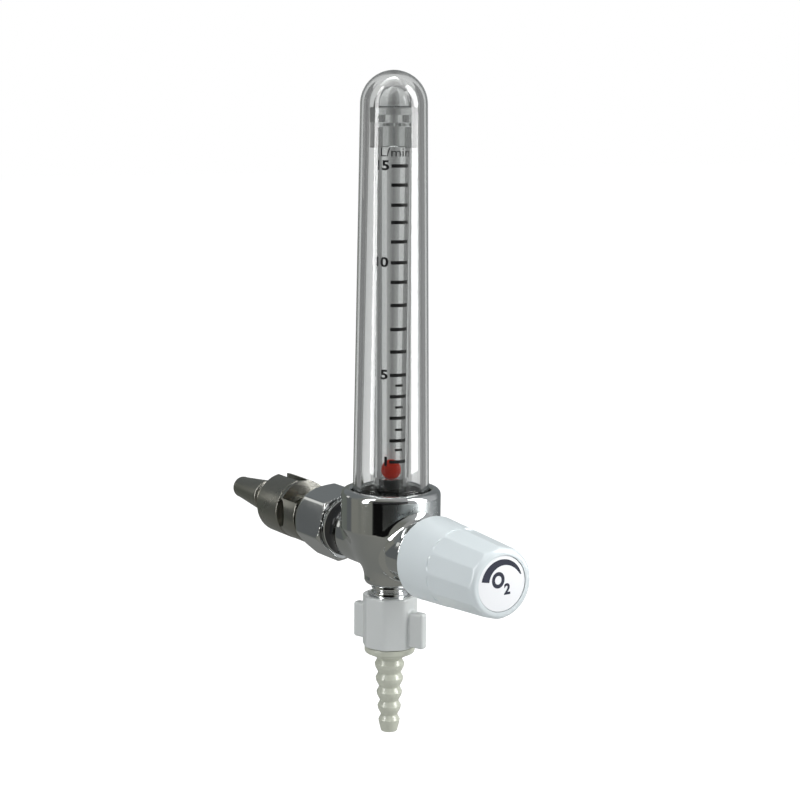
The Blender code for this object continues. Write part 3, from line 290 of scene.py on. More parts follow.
def bevelled(obj, width, segments=3, angle=30):
    change = obj.modifiers.new("round", "BEVEL")
    change.width = width * MM
    change.segments = segments
    change.limit_method = "ANGLE"
    change.angle_limit = math.radians(angle)
    change.harden_normals = True
    obj.data.shade_smooth()
    return apply_modifiers(obj)


# Distance fields, in millimetres, for the pieces with blended surfaces

FIELD_STEPS = 6
SLOPE_STEP = 0.02


def outline_distance(r, z, outline):
    """Signed distance from points (r, z) to a closed outline; negative inside."""
    best = np.full(r.shape, 1e18)
    inside = np.zeros(r.shape, bool)
    count = len(outline)
    for i in range(count):
        ar, az = outline[i]
        br, bz = outline[(i + 1) % count]
        er, ez = br - ar, bz - az
        length = er * er + ez * ez
        if length < 1e-12:
            continue
        if ar > 1e-9 or br > 1e-9:
            share = np.clip(((r - ar) * er + (z - az) * ez) / length, 0, 1)
            best = np.minimum(best, (r - ar - share * er) ** 2 + (z - az - share * ez) ** 2)
        if abs(ez) > 1e-12:
            crosses = (az > z) != (bz > z)
            inside ^= crosses & (r < ar + (z - az) / ez * er)
    return np.where(inside, -1, 1) * np.sqrt(best)


def smooth_min(a, b, width):
    h = np.clip(0.5 + 0.5 * (b - a) / width, 0, 1)
    return b * (1 - h) + a * h - width * h * (1 - h)


def smooth_max(a, b, width):
    return -smooth_min(-a, -b, width)


def on_field(obj, field, voxel, mat, angle):
    """Remeshes obj evenly, then moves each point onto the surface where the field is zero."""
    change = obj.modifiers.new("even", "REMESH")
    change.mode = "VOXEL"
    change.voxel_size = voxel * MM
    change.adaptivity = 0
    apply_modifiers(obj)
    mesh = obj.data
    points = np.empty(len(mesh.vertices) * 3)
    mesh.vertices.foreach_get("co", points)
    points = points.reshape(-1, 3) / MM
    probes = SLOPE_STEP * np.eye(3)
    for _ in range(FIELD_STEPS):
        value = field(points)
        slope = np.stack(
            [
                (field(points + probe) - field(points - probe)) / (2 * SLOPE_STEP)
                for probe in probes
            ],
            axis=1,
        )
        size = np.maximum((slope**2).sum(axis=1), 0.25)
        move = -(value / size)[:, None] * slope
        reach = np.linalg.norm(move, axis=1, keepdims=True)
        points += move * np.minimum(1, voxel / np.maximum(reach, 1e-9))
    mesh.vertices.foreach_set("co", (points * MM).ravel())
    mesh.update()
    mesh.materials.clear()
    mesh.materials.append(mat)
    smooth_by(obj, angle)


def joined(name, pieces):
    shape = bmesh.new()
    for piece in pieces:
        piece.data.transform(piece.matrix_world)
        shape.from_mesh(piece.data)
        bpy.data.objects.remove(piece, do_unlink=True)
    return finished(shape, name, None)


def arc(r, z, radius, start, end, steps):
    return [
        (
            r + radius * math.cos(math.radians(start + (end - start) * i / steps)),
            z + radius * math.sin(math.radians(start + (end - start) * i / steps)),
        )
        for i in range(steps + 1)
    ]


# Body casting

CUP_RADIUS = 21.0
CUP_RIM = 23.4
CUP_ROUND = 2.6
CUP_MOUTH = 17.6
CUP_FLOOR = 9.0
CUP_LIP = 0.9
LIP_FOOT = 20.9
LIP_SLOPE = 0.8
BOWL_FOOT_RADIUS = 11.0
BOWL_FOOT = -10.5
FLANK_HEIGHT = 17.5
FLANK_PARTS = 12
ARM_RADIUS = 13.0
ARM_FRONT = -26.0
ARM_BACK = 34.2
ARM_END = 47.6
THREAD_RADIUS = 8.2
WAIST_START = 23.6
WAIST_LENGTH = 10.0
WAIST_CURVE = 4.4
BLEND = 5.0
WAIST_RING_PROUD = 0.03
WAIST_RING_WALL = 0.4


def waist_line(radius, parts):
    """The shallow hollow round the inlet boss, deepest in its middle."""
    shares = [i / parts for i in range(parts + 1)]
    return [(radius - WAIST_CURVE * s * (1 - s), WAIST_START + WAIST_LENGTH * s) for s in shares]


flank = [
    (BOWL_FOOT_RADIUS + (CUP_RADIUS - BOWL_FOOT_RADIUS) * share, BOWL_FOOT + FLANK_HEIGHT * share**0.78)
    for share in (i / FLANK_PARTS for i in range(1, FLANK_PARTS + 1))
]
bowl_outline = [
    (0.0, -17.5),
    (8.6, -17.5),
    *arc(8.9, -15.4, 2.1, -82, 0, 6),
    (BOWL_FOOT_RADIUS, BOWL_FOOT),
    *flank,
    *arc(CUP_RADIUS - CUP_ROUND, CUP_RIM - CUP_ROUND, CUP_ROUND, 0, 90, 10),
    (CUP_MOUTH, CUP_RIM),
    (0.0, CUP_RIM),
]
arm_outline = [
    (0.0, ARM_FRONT),
    (ARM_RADIUS - 0.1, ARM_FRONT),
    (ARM_RADIUS, ARM_FRONT + 0.1),
    (ARM_RADIUS, 0.0),
    *waist_line(ARM_RADIUS, 10),
    (12.4, ARM_BACK),
    (THREAD_RADIUS, ARM_BACK),
    (THREAD_RADIUS, ARM_END - 1.0),
    (THREAD_RADIUS - 1.0, ARM_END),
    (0.0, ARM_END),
]


def body_field(points):
    """The casting with its cup. Its inner bores are in the CAD solid only."""
    x, y, z = points[:, 0], points[:, 1] - TUBE_Y, points[:, 2]
    bowl = outline_distance(np.hypot(x, y), z, bowl_outline)
    arm = outline_distance(np.hypot(x, z), y, arm_outline)
    solid = smooth_min(bowl, arm, BLEND)
    lip = CUP_LIP * np.clip((z - LIP_FOOT) / LIP_SLOPE, 0, 1)
    mouth = np.maximum(np.hypot(x, y) - CUP_MOUTH + lip, CUP_FLOOR - z)
    return smooth_max(solid, -mouth, 0.5)


cup_outline = bowl_outline[:-1] + [(CUP_MOUTH, CUP_FLOOR), (0.0, CUP_FLOOR)]
arm_front = [(0, ARM_FRONT), (ARM_RADIUS, ARM_FRONT), (ARM_RADIUS, -16), (0, -16)]
arm_back = [
    (0, 10),
    (ARM_RADIUS, 10),
    (ARM_RADIUS, ARM_BACK),
    (THREAD_RADIUS, ARM_BACK),
    (THREAD_RADIUS, ARM_END),
    (0, ARM_END),
]
arm_middle = [(0, -20), (8, -20), (8, 14), (0, 14)]
casting = joined(
    "body",
    [
        lathe("bowl", cup_outline, None, AT_TUBE, 96),
        lathe("arm_front", arm_front, None, AT_INLET, 64),
        lathe("arm_back", arm_back, None, AT_INLET, 64),
        lathe("arm_middle", arm_middle, None, AT_INLET, 64),
    ],
)
on_field(casting, body_field, 0.5, chrome, 60)
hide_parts("body_casting")
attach(casting, "meter")

# A thin darker sheet over the waist, a painted dark reflection: it stands for what the chrome reflects
# there in the photograph
waist = waist_line(ARM_RADIUS + WAIST_RING_PROUD, 16)[1:-1]
painted_reflection_ring = lathe(
    "inlet_waist_painted_reflection",
    waist + [(r - WAIST_RING_WALL, y) for r, y in reversed(waist)],
    chrome_painted_reflection,
    AT_INLET,
)
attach(painted_reflection_ring, "meter")

# Union nut

NUT_FRONT = 34.5
NUT_BACK = 57.7
NUT_FLAT = 14.0
NUT_TURN = math.radians(164.6)
NUT_SHOULDER = NUT_BACK - 4.8
NUT_SEAT = NUT_BACK - 5.1
NUT_RADIUS = 16.0
NUT_END_RADIUS = 13.4
NUT_BORE = 8.5
NUT_NECK = 6.5
nut_outline = [
    (NUT_BORE, NUT_FRONT),
    (NUT_RADIUS - 1.1, NUT_FRONT),
    (NUT_RADIUS, NUT_FRONT + 1.0),
    (NUT_RADIUS, NUT_SHOULDER),
    (NUT_END_RADIUS, NUT_BACK - 0.6),
    (NUT_END_RADIUS, NUT_BACK - 0.3),
    (NUT_END_RADIUS - 0.3, NUT_BACK),
    (NUT_NECK, NUT_BACK),
    (NUT_NECK, NUT_SEAT),
    (NUT_BORE, NUT_SEAT),
]


def nut_field(points):
    x, y, z = points[:, 0], points[:, 1] - TUBE_Y, points[:, 2]
    turned = outline_distance(np.hypot(x, z), y, nut_outline)
    flats = np.full(x.shape, -1e9)
    for i in range(6):
        angle = NUT_TURN + i * math.pi / 3
        flats = np.maximum(flats, x * math.cos(angle) + z * math.sin(angle) - NUT_FLAT)
    return smooth_max(turned, flats, 0.35)


nut = lathe("inlet_nut_bright", nut_outline, None, AT_INLET, 96)
nut_corner = NUT_FLAT / math.cos(math.pi / 6)
hexagon = [
    (nut_corner * math.cos(angle), nut_corner * math.sin(angle))
    for angle in (math.pi - NUT_TURN + math.pi / 6 + i * math.pi / 3 for i in range(6))
]
boolean(nut, prism("nut_flats", hexagon, NUT_FRONT - 4.5, NUT_BACK + 8.3, AT_INLET), "INTERSECT")
nut = joined("inlet_nut_bright", [nut])
on_field(nut, nut_field, 0.42, chrome, 40)
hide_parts("inlet_nut")
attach(nut, "meter")

# Inlet probe and its index ring

NOSE_TIP = -39.7
COLLAR = 18.0
COLLAR_RADIUS = 13.6
NECK_END = 34.4
probe_outline = rounded(
    [
        (2.2, NOSE_TIP),
        (5.0, NOSE_TIP),
        (5.0, NOSE_TIP + 2.4),
        (7.4, -13.8),
        (6.0, -13.2),
        (6.0, 0.0),
        (COLLAR_RADIUS, 0.0),
        (COLLAR_RADIUS, COLLAR),
        (5.6, COLLAR),
        (5.6, NECK_END),
        (4.1, NECK_END),
        (4.1, NECK_END - 8.0),
        (2.2, NECK_END - 8.0),
    ],
    [0.3, 1.2, 0.6, 0.5, 0.2, 0.3, 0.45, 0.35, 0.3, 0.3, 0.1, 0.1, 0.1],
)
probe = lathe("probe", probe_outline, nickel, TOWARDS_KNOB)
KEYWAY_HALF = 2.3
keyway = prism(
    "keyway",
    [(11.0, -KEYWAY_HALF), (15.0, -KEYWAY_HALF), (15.0, KEYWAY_HALF), (11.0, KEYWAY_HALF)],
    -1,
    COLLAR + 1,
    TOWARDS_KNOB @ Matrix.Rotation(math.pi / 2, 4, "Z"),
)
boolean(probe, keyway)
smooth_by(probe, 34)
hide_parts("probe_body")
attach(probe, "meter")

RING_START = COLLAR + 0.3
RING_END = RING_START + 15.0
RING_RADIUS = COLLAR_RADIUS - 0.2
RING_BORE = 5.9
OPENING_START = RING_START + 2.1
OPENING_REACH = 30
NOTCH_RADIUS = 6.5
NOTCH_FLOOR = RING_RADIUS - 3.0
NOTCH_TOP = 20
ring = lathe(
    "index_ring_turned",
    rounded(
        [
            (RING_BORE, RING_START),
            (RING_RADIUS, RING_START),
            (RING_RADIUS, RING_END),
            (RING_BORE, RING_END),
        ],
        [0, 0.25, 0.45, 0],
    ),
    nickel_fine,
    TOWARDS_KNOB,
)
wedge = [(0, 0)]
for degrees in (30, 90, 150):
    angle = math.radians(degrees)
    wedge.append((OPENING_REACH * math.cos(angle), OPENING_REACH * math.sin(angle)))
boolean(ring, prism("opening", wedge, OPENING_START, RING_END + 1, TOWARDS_KNOB))
notch_outline = [
    (0, NOTCH_FLOOR),
    (NOTCH_RADIUS, NOTCH_FLOOR),
    (NOTCH_RADIUS, NOTCH_TOP),
    (0, NOTCH_TOP),
]
notch = lathe("notch", notch_outline, None, None, 96)
notch.matrix_world = Matrix.Translation((0, -RING_START * MM, 0)) @ Matrix.Rotation(-math.pi / 2, 4, "Y")
boolean(ring, notch)
ring = bevelled(ring, 0.25, 2, 40)
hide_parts("index_ring")
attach(ring, "meter")

# Cover tube, flow tube and plug

COVER_FOOT = 9.3
COVER_FOOT_RADIUS = 16.2
COVER_TOP_RADIUS = 13.8
COVER_INNER_TOP_RADIUS = 10.6
DOME = 182.6
GROOVE_HALF = 0.975
GROOVE_DEPTH = 0.45


def cover_radius(height):
    share = (height - COVER_FOOT) / (DOME - COVER_FOOT)
    return COVER_FOOT_RADIUS + (COVER_TOP_RADIUS - COVER_FOOT_RADIUS) * share


def turned_piece(name, outline, mat, node, body="meter", place=AT_TUBE, facets=128, angle=34):
    piece = lathe(name, outline, mat, place, facets, angle)
    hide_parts(node)
    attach(piece, body)
    return piece


grooves = []
for height in (12.0, 16.4):
    groove_low, groove_high = height - GROOVE_HALF, height + GROOVE_HALF
    groove_radius = cover_radius(height) - GROOVE_DEPTH
    grooves += [
        (cover_radius(groove_low), groove_low),
        (groove_radius, groove_low),
        (groove_radius, groove_high),
        (cover_radius(groove_high), groove_high),
    ]
cover_outline = [
    (13.2, COVER_FOOT),
    (COVER_FOOT_RADIUS - 0.3, COVER_FOOT),
    (COVER_FOOT_RADIUS, COVER_FOOT + 0.3),
    *grooves,
    *arc(0, DOME, COVER_TOP_RADIUS, 0, 88, 24),
    (0.0, DOME + COVER_TOP_RADIUS),
    (0.0, DOME + COVER_INNER_TOP_RADIUS),
    *arc(0, DOME, COVER_INNER_TOP_RADIUS, 88, 0, 24),
]
turned_piece("cover", cover_outline, cover_clear, "cover_tube")
FLOW_TOP = 173.6
FLOW_RADIUS = 7.5
FLOW_FOOT = 19.0
FLOW_LEDGE = 28.3
flow_outline = [
    (5.5, FLOW_FOOT),
    (FLOW_RADIUS, FLOW_FOOT),
    (FLOW_RADIUS, FLOW_TOP),
    (5.6, FLOW_TOP),
    (4.5, FLOW_LEDGE),
    (5.5, FLOW_LEDGE),
]
turned_piece("flow_tube_clear", flow_outline, tube_clear, "flow_tube")
plug_dome = [
    (8.4 * math.cos(a), 181.4 + 8.7 * math.sin(a)) for a in (math.radians(5 * i) for i in range(18))
]
plug_outline = [
    (7.8, 165.2),
    (9.6, 165.2),
    (9.8, 165.4),
    (9.8, 181.1),
    (9.5, 181.4),
    *plug_dome,
    (0.0, 190.1),
    (0.0, FLOW_TOP + 4.8),
    (4.6, FLOW_TOP + 4.8),
    (4.6, FLOW_TOP + 1.8),
    (7.8, FLOW_TOP + 1.8),
]
turned_piece("plug", plug_outline, tube_clear, "top_plug")

# Float and its seat

seat_outline = rounded(
    [
        (2.4, 4.7),
        (6.0, 4.7),
        (6.0, 9.3),
        (9.6, 9.3),
        (9.6, 17.0),
        (5.2, 17.0),
        (5.2, 28.0),
        (2.4, 28.0),
    ],
    [0, 0.3, 0.2, 0.5, 1.0, 0.3, 0.3, 0.2],
)
turned_piece("seat", seat_outline, tube_clear, "float_seat", facets=64)
BALL_RADIUS = 4.2
SEAT_BORE = 2.4
SEAT_TOP = 28.0
FLOAT_REST = SEAT_TOP + math.sqrt(BALL_RADIUS**2 - SEAT_BORE**2) + 0.3
ball = bmesh.new()
bmesh.ops.create_uvsphere(ball, u_segments=64, v_segments=32, radius=BALL_RADIUS * MM)
ball = finished(ball, "ball", red, Matrix.Translation((0, TUBE_Y * MM, FLOAT_REST * MM)), 60)
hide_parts("float_ball")
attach(ball, "float")

# Scale on the flow tube

PRINT_THICKNESS = 0.03
SCALE_RADIUS = FLOW_RADIUS + 0.03
SCALE_TURN = math.radians(-90 - 31)
SCALE_SHIFT = -1.9


def printed(points, faces, name, mat, place_on):
    """Flat print as a thin closed layer; place_on(across, height, raised) gives a point in mm."""
    shape = bmesh.new()
    layers = []
    for raised in (0, PRINT_THICKNESS):
        placed = [place_on(across, height, raised) for across, height in points]
        layers.append([shape.verts.new((x * MM, y * MM, z * MM)) for x, y, z in placed])
    inner, outer = layers
    edges = {}
    for face in faces:
        shape.faces.new([outer[i] for i in face])
        shape.faces.new([inner[i] for i in reversed(face)])
        for i, start in enumerate(face):
            edges[(start, face[(i + 1) % len(face)])] = True
    for start, end in edges:
        if (end, start) not in edges:
            shape.faces.new([inner[start], inner[end], outer[end], outer[start]])
    return finished(shape, name, mat, None, 30)


def on_tube(across, height, raised):
    angle = SCALE_TURN + across / SCALE_RADIUS
    radius = SCALE_RADIUS + raised
    return radius * math.cos(angle), TUBE_Y + radius * math.sin(angle), height


def bar(low, high, height, thick, parts=6):
    across = [low + (high - low) * i / parts for i in range(parts + 1)]
    points = [(a, height - thick / 2) for a in across] + [(a, height + thick / 2) for a in across]
    faces = [(i, i + 1, i + parts + 2, i + parts + 1) for i in range(parts)]
    return points, faces


def text_points(text, size, weight=0.0):
    """The filled letters of a text as flat points and triangles, in mm, with its middle at (0, 0)."""
    curve = bpy.data.curves.new("letters", "FONT")
    curve.body = text
    curve.size = size
    curve.offset = weight * size
    curve.align_x = "CENTER"
    curve.align_y = "CENTER"
    curve.resolution_u = 6
    obj = bpy.data.objects.new("letters", curve)
    bpy.context.scene.collection.objects.link(obj)
    bpy.context.view_layer.update()
    shown = obj.evaluated_get(bpy.context.evaluated_depsgraph_get())
    mesh = bpy.data.meshes.new_from_object(shown)
    shape = bmesh.new()
    shape.from_mesh(mesh)
    bmesh.ops.remove_doubles(shape, verts=shape.verts, dist=1e-5)
    bmesh.ops.triangulate(shape, faces=shape.faces)
    shape.verts.index_update()
    points = [(v.co.x, v.co.y) for v in shape.verts]
    faces = [tuple(v.index for v in f.verts) for f in shape.faces]
    shape.free()
    bpy.data.objects.remove(obj, do_unlink=True)
    return points, faces


# Height of each graduation, by its flow in litres a minute
LEVELS = {
    15: 158.0,
    14: 150.3,
    13: 142.2,
    12: 135.2,
    11: 127.3,
    10: 118.8,
    9: 110.8,
    8: 101.3,
    7: 91.4,
    6: 82.1,
    5: 72.4,
    4: 63.5,
    3: 54.5,
    2: 45.0,
    1: 36.1,
}
HALF_LEVELS = (68.1, 59.0, 49.6, 41.1)
scale_points, scale_faces = [], []


def add_print(points, faces, across=0.0, height=0.0):
    start = len(scale_points)
    scale_points.extend((a + across, h + height) for a, h in points)
    scale_faces.extend(tuple(i + start for i in face) for face in faces)


for height in LEVELS.values():
    add_print(*bar(-1.0, 6.2, height, 1.4))
for height in HALF_LEVELS:
    add_print(*bar(1.2, 4.4, height, 1.0, 3))
for number in (15, 10, 5, 1):
    points, faces = text_points(str(number), 5.4, 0.03)
    right_edge = max(p[0] for p in points)
    wide = [(1.3 * (x - right_edge) + SCALE_SHIFT, z) for x, z in points]
    add_print(wide, faces, 0.0, LEVELS[number])
points, faces = text_points("L/min", 5.0)
add_print([(1.15 * x, z) for x, z in points], faces, 0.6, 163.3)
scale_marks = printed(scale_points, scale_faces, "scale_marks", ink, on_tube)
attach(scale_marks, "meter")

# Knob

KNOB_BACK = 32.0
KNOB_FACE = 80.2
KNOB_BACK_RADIUS = 17.5
KNOB_FRONT_RADIUS = 14.6
KNOB_RIM_RADIUS = 12.4
KNOB_ROUND = 3.4
KNOB_SHOULDER = KNOB_FACE - KNOB_ROUND
KNOB_SLOPE = (KNOB_BACK_RADIUS - KNOB_FRONT_RADIUS) / (KNOB_SHOULDER - KNOB_BACK)
TAPER_START = (KNOB_BACK_RADIUS, KNOB_BACK + 0.2)
RECESS_RADIUS = 11.3
RECESS_DEPTH = 1.5
rim_round = [
    (
        KNOB_RIM_RADIUS + (KNOB_FRONT_RADIUS - KNOB_RIM_RADIUS) * math.cos(angle),
        KNOB_SHOULDER + KNOB_ROUND * math.sin(angle),
    )
    for angle in (math.radians(10 * i) for i in range(10))
]
knob_outline = [
    (15.1, KNOB_BACK),
    (KNOB_BACK_RADIUS - 0.2, KNOB_BACK),
    TAPER_START,
    *rim_round,
    (RECESS_RADIUS, KNOB_FACE),
    (RECESS_RADIUS, KNOB_FACE - RECESS_DEPTH),
    (3.7, KNOB_FACE - RECESS_DEPTH),
    (3.7, 64.0),
    (1.8, 64.0),
    (1.8, 61.3),
    (3.3, 61.3),
    (3.3, 42.0),
    (7.2, 42.0),
    (7.2, 46.0),
    (13.9, 46.0),
]
GRIP_FLATS = 12
GRIP_BACK = 51.0
GRIP_DEPTH = 0.45
GRIP_CORNER = 3.0
GRIP_WALL = 0.2
GRIP_EDGE = math.radians(14.1)
GRIP_STEPS = (3, 6, 9, 11, 12.4, 13.4, 14.1, 14.55)
GRIP_COLUMNS = (-15, *(-step for step in reversed(GRIP_STEPS)), 0, *GRIP_STEPS)


def taper_radius(along):
    return KNOB_BACK_RADIUS - KNOB_SLOPE * (along - KNOB_BACK)


def grip_radius(radius, away, along):
    """Radius of the knob's outside at an angle from a grip flat's middle."""
    across = max(radius * (abs(away) - GRIP_EDGE) + GRIP_CORNER, 0)
    behind = max(GRIP_BACK + GRIP_CORNER - along, 0)
    inwards = GRIP_CORNER - math.hypot(across, behind)
    share = min(max(inwards / GRIP_WALL, 0), 1)
    flat = (taper_radius(along) - GRIP_DEPTH) / math.cos(away)
    return radius + share * min(0, flat - radius)


def knob_rows():
    """The outline with extra rows along the taper; each row says if the grip flats cut it."""
    taper = [TAPER_START[1], 38, 44, 48, 50.4]
    taper += [50.8 + 0.2 * i for i in range(19)]
    taper += [56, 60, 65, 70, 74]
    rows = []
    for point in knob_outline:
        if point == TAPER_START:
            rows += [(taper_radius(along), along, True) for along in taper]
        else:
            rows.append((*point, point in rim_round))
    return rows


def knob_moulding():
    shape = bmesh.new()
    grid = []
    for radius, along, gripped in knob_rows():
        line = []
        for i in range(GRIP_FLATS):
            for column in GRIP_COLUMNS:
                away = math.radians(column)
                angle = (i + 0.5) * 2 * math.pi / GRIP_FLATS + away
                r = (grip_radius(radius, away, along) if gripped else radius) * MM
                line.append(shape.verts.new((r * math.cos(angle), r * math.sin(angle), along * MM)))
        grid.append(line)
    count = len(grid[0])
    for here, following in zip(grid, grid[1:] + grid[:1]):
        for i in range(count):
            k = (i + 1) % count
            shape.faces.new((here[i], here[k], following[k], following[i]))
    return finished(shape, "knob_moulding", knob_white, AT_KNOB, 24)


knob = knob_moulding()
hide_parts("knob")
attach(knob, "knob_and_spindle")

DISC_FRONT = KNOB_FACE - 0.3
DISC_BACK = DISC_FRONT - 0.9
DISC_RADIUS = 11.1
disc_corners = [(0.0, DISC_BACK), (DISC_RADIUS, DISC_BACK), (DISC_RADIUS, DISC_FRONT), (0.0, DISC_FRONT)]
turned_piece(
    "knob_face",
    rounded(disc_corners, [0, 0.1, 0.1, 0]),
    disc_white,
    "knob_disc",
    "knob_and_spindle",
    AT_KNOB,
)

# Print on the knob's face, drawn as seen from the front

ARC_RADIUS = 9.75
ARC_START = 169.5
ARC_SWEEP = 153
ARC_NARROW = 0.4
ARC_WIDENING = 3.3
ARC_STEPS = 40


def on_disc(across, height, raised):
    return across, TUBE_Y - DISC_FRONT - raised, height


def knob_print(points, faces, name):
    piece = printed(points, faces, name, ink_blue, on_disc)
    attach(piece, "knob_and_spindle")


inner_edge, outer_edge = [], []
for i in range(ARC_STEPS + 1):
    share = i / ARC_STEPS
    angle = math.radians(ARC_START - ARC_SWEEP * share)
    width = ARC_WIDENING * (1 - share) ** 0.6 + ARC_NARROW
    for edge, radius in ((inner_edge, ARC_RADIUS - width), (outer_edge, ARC_RADIUS)):
        edge.append((radius * math.cos(angle), radius * math.sin(angle)))
faces = [(i, i + ARC_STEPS + 1, i + ARC_STEPS + 2, i + 1) for i in range(ARC_STEPS)]
knob_print(inner_edge + outer_edge, faces, "flow_arc")
for text, size, weight, wide, x, z, name in (
    ("O", 8.2, 0.05, 0.88, -1.7, 1.3, "gas_letter"),
    ("2", 5.9, 0.04, 1.0, 2.64, -2.6, "gas_number"),
):
    points, faces = text_points(text, size, weight)
    knob_print([(px * wide + x, pz + z) for px, pz in points], faces, name)

# Outlet spigot, wing nut and hose tail

spigot_outline = rounded(
    [
        (3.0, -36.3),
        (7.2, -36.3),
        (8.2, -35.3),
        (8.2, -22.4),
        (7.9, -22.4),
        (7.9, -20.9),
        (7.4, -20.4),
        (7.4, -19.8),
        (7.9, -19.3),
        (7.9, -17.8),
        (6.3, -17.8),
        (6.3, -8.3),
        (3.0, -8.3),
    ],
    [0, 0.2, 0.2, 0.1, 0.2, 0.3, 0.2, 0.2, 0.3, 0.2, 0.1, 0.2, 0],
)
turned_piece("spigot", spigot_outline, chrome_bright, "outlet_spigot")

WING_TURN = math.radians(-68.3)
WING_TOP = -28.2
WING_BOTTOM = -43.6
WING_MIDDLE = (WING_TOP + WING_BOTTOM) / 2
WING_REACH = 18.0
WING_HALF = 2.0
WING_ROUND = 1.2
WING_ROOT = 9.7
SLEEVE_RADIUS = 11.8
SLEEVE_SHOULDER = -23.4
sleeve_outline = [
    (6.9, -44.4),
    (SLEEVE_RADIUS - 0.4, -44.4),
    (SLEEVE_RADIUS, -44.0),
    (SLEEVE_RADIUS, SLEEVE_SHOULDER),
    *arc(SLEEVE_RADIUS - 1.0, SLEEVE_SHOULDER, 1.0, 10, 90, 6),
    (9.2, -22.4),
    (8.5, -23.0),
    (8.5, -40.4),
    (6.9, -40.4),
]


def wing_field(points):
    x, y, z = points[:, 0], points[:, 1] - TUBE_Y, points[:, 2]
    sleeve = outline_distance(np.hypot(x, y), z, sleeve_outline)
    apothem = SLEEVE_RADIUS * math.cos(math.pi / 8) + 0.2
    sides = np.full(x.shape, -1e9)
    for i in range(8):
        angle = WING_TURN + i * math.pi / 4
        sides = np.maximum(sides, x * math.cos(angle) + y * math.sin(angle) - apothem)
    sleeve = smooth_max(sleeve, sides, 0.4)
    along = x * math.cos(WING_TURN) + y * math.sin(WING_TURN)
    across = -x * math.sin(WING_TURN) + y * math.cos(WING_TURN)
    half = np.stack(
        [
            np.abs(along) - (WING_REACH - WING_ROUND),
            np.abs(across) - (WING_HALF - WING_ROUND),
            np.abs(z - WING_MIDDLE) - ((WING_TOP - WING_BOTTOM) / 2 - WING_ROUND),
        ],
        axis=1,
    )
    outside = np.linalg.norm(np.maximum(half, 0), axis=1)
    blade = outside + np.minimum(half.max(axis=1), 0) - WING_ROUND
    blade = np.maximum(blade, WING_ROOT - np.hypot(x, y))
    return smooth_min(sleeve, blade, 0.8)


pieces = [lathe("sleeve", sleeve_outline, None, AT_TUBE, 96)]
blade_root = WING_ROOT + 0.2
blade_corners = [
    (blade_root, -WING_HALF),
    (WING_REACH, -WING_HALF),
    (WING_REACH, WING_HALF),
    (blade_root, WING_HALF),
]
for side in range(2):
    place = AT_TUBE @ Matrix.Rotation(WING_TURN + side * math.pi, 4, "Z")
    pieces.append(prism("blade", blade_corners, WING_BOTTOM, WING_TOP, place))
wing = joined("wing_nut_moulding", pieces)
on_field(wing, wing_field, 0.38, nut_white, 50)
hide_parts("wing_nut")
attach(wing, "wing_nut")

TAIL_BORE = 2.2
TAIL_END = -82.6
BARBS = 5
BARB_PITCH = 6.2
BARB_START = -53.1
BARB_START_RADIUS = 6.35
BARB_END_RADIUS = 4.6
tail_corners = [
    (TAIL_BORE, -38.1),
    (7.9, -38.1),
    (7.9, -40.1),
    (6.6, -40.1),
    (6.6, -44.7),
    (10.7, -44.7),
    (10.7, -47.3),
    (BARB_START_RADIUS, -49.3),
]
tail_radii = [0.2, 0.3, 0.2, 0.2, 0.2, 0.6, 1.2, 0.6]
for i in range(BARBS):
    crest = BARB_START - i * BARB_PITCH
    radius = BARB_START_RADIUS + (BARB_END_RADIUS - BARB_START_RADIUS) * i / (BARBS - 1)
    tail_corners += [
        (radius - 1.15, crest + 0.42 * BARB_PITCH),
        (radius, crest + 0.06 * BARB_PITCH),
        (radius - 0.29, crest - 0.18 * BARB_PITCH),
    ]
    tail_radii += [0.9, 0.45, 0.3]
tail_corners += [(3.45, TAIL_END), (TAIL_BORE, TAIL_END)]
tail_radii += [0.4, 0.2]
turned_piece(
    "hose_tail_moulding",
    rounded(tail_corners, tail_radii, 5),
    cream,
    "hose_tail",
    "hose_tail",
    angle=50,
)

# Bare label plate on the cup, and the dark band over it

PLATE_SUNK = 0.15


def cup_wall(height):
    """Outer radius of the cup's wall at a height."""
    outline = flank + [(CUP_RADIUS, CUP_RIM - CUP_ROUND)]
    for (ra, za), (rb, zb) in zip(outline, outline[1:]):
        if za <= height <= zb:
            return ra + (rb - ra) * (height - za) / max(zb - za, 1e-9)
    return outline[-1][0]


def plate(name, start, end, bottom, top, mat, proud, columns, rows):
    """A thin plate bent round the cup between two angles, in degrees from the front."""
    shape = bmesh.new()
    grid = []
    for layer in (-PLATE_SUNK, proud):
        side = []
        for j in range(rows + 1):
            height = bottom + (top - bottom) * j / rows
            line = []
            for i in range(columns + 1):
                angle = math.radians(-90 + start + (end - start) * i / columns)
                r = cup_wall(height) + layer
                x, y = r * math.cos(angle), TUBE_Y + r * math.sin(angle)
                line.append(shape.verts.new((x * MM, y * MM, height * MM)))
            side.append(line)
        grid.append(side)
    inner, outer = grid
    for j in range(rows):
        for i in range(columns):
            for side in (outer, inner):
                shape.faces.new([side[j][i], side[j][i + 1], side[j + 1][i + 1], side[j + 1][i]])
    for i in range(columns):
        shape.faces.new([inner[0][i], inner[0][i + 1], outer[0][i + 1], outer[0][i]])
        shape.faces.new([outer[rows][i], outer[rows][i + 1], inner[rows][i + 1], inner[rows][i]])
    for j in range(rows):
        shape.faces.new([outer[j][0], outer[j + 1][0], inner[j + 1][0], inner[j][0]])
        right_inner, right_outer = inner[j + 1][columns], outer[j + 1][columns]
        shape.faces.new([inner[j][columns], right_inner, right_outer, outer[j][columns]])
    piece = finished(shape, name, mat)
    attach(piece, "meter")


satin = metal("label_satin", (0.42, 0.44, 0.44), 0.24, 0.05, 0.02, 400)
plate("label_plate", -41.5, 34, 9.7, 20.6, satin, 0.12, 28, 10)
plate("label_edge", -53.3, -13.1, 21.0, 21.8, ink, 0.1, 16, 2)

# CAD nodes that stay as they are get the fine materials

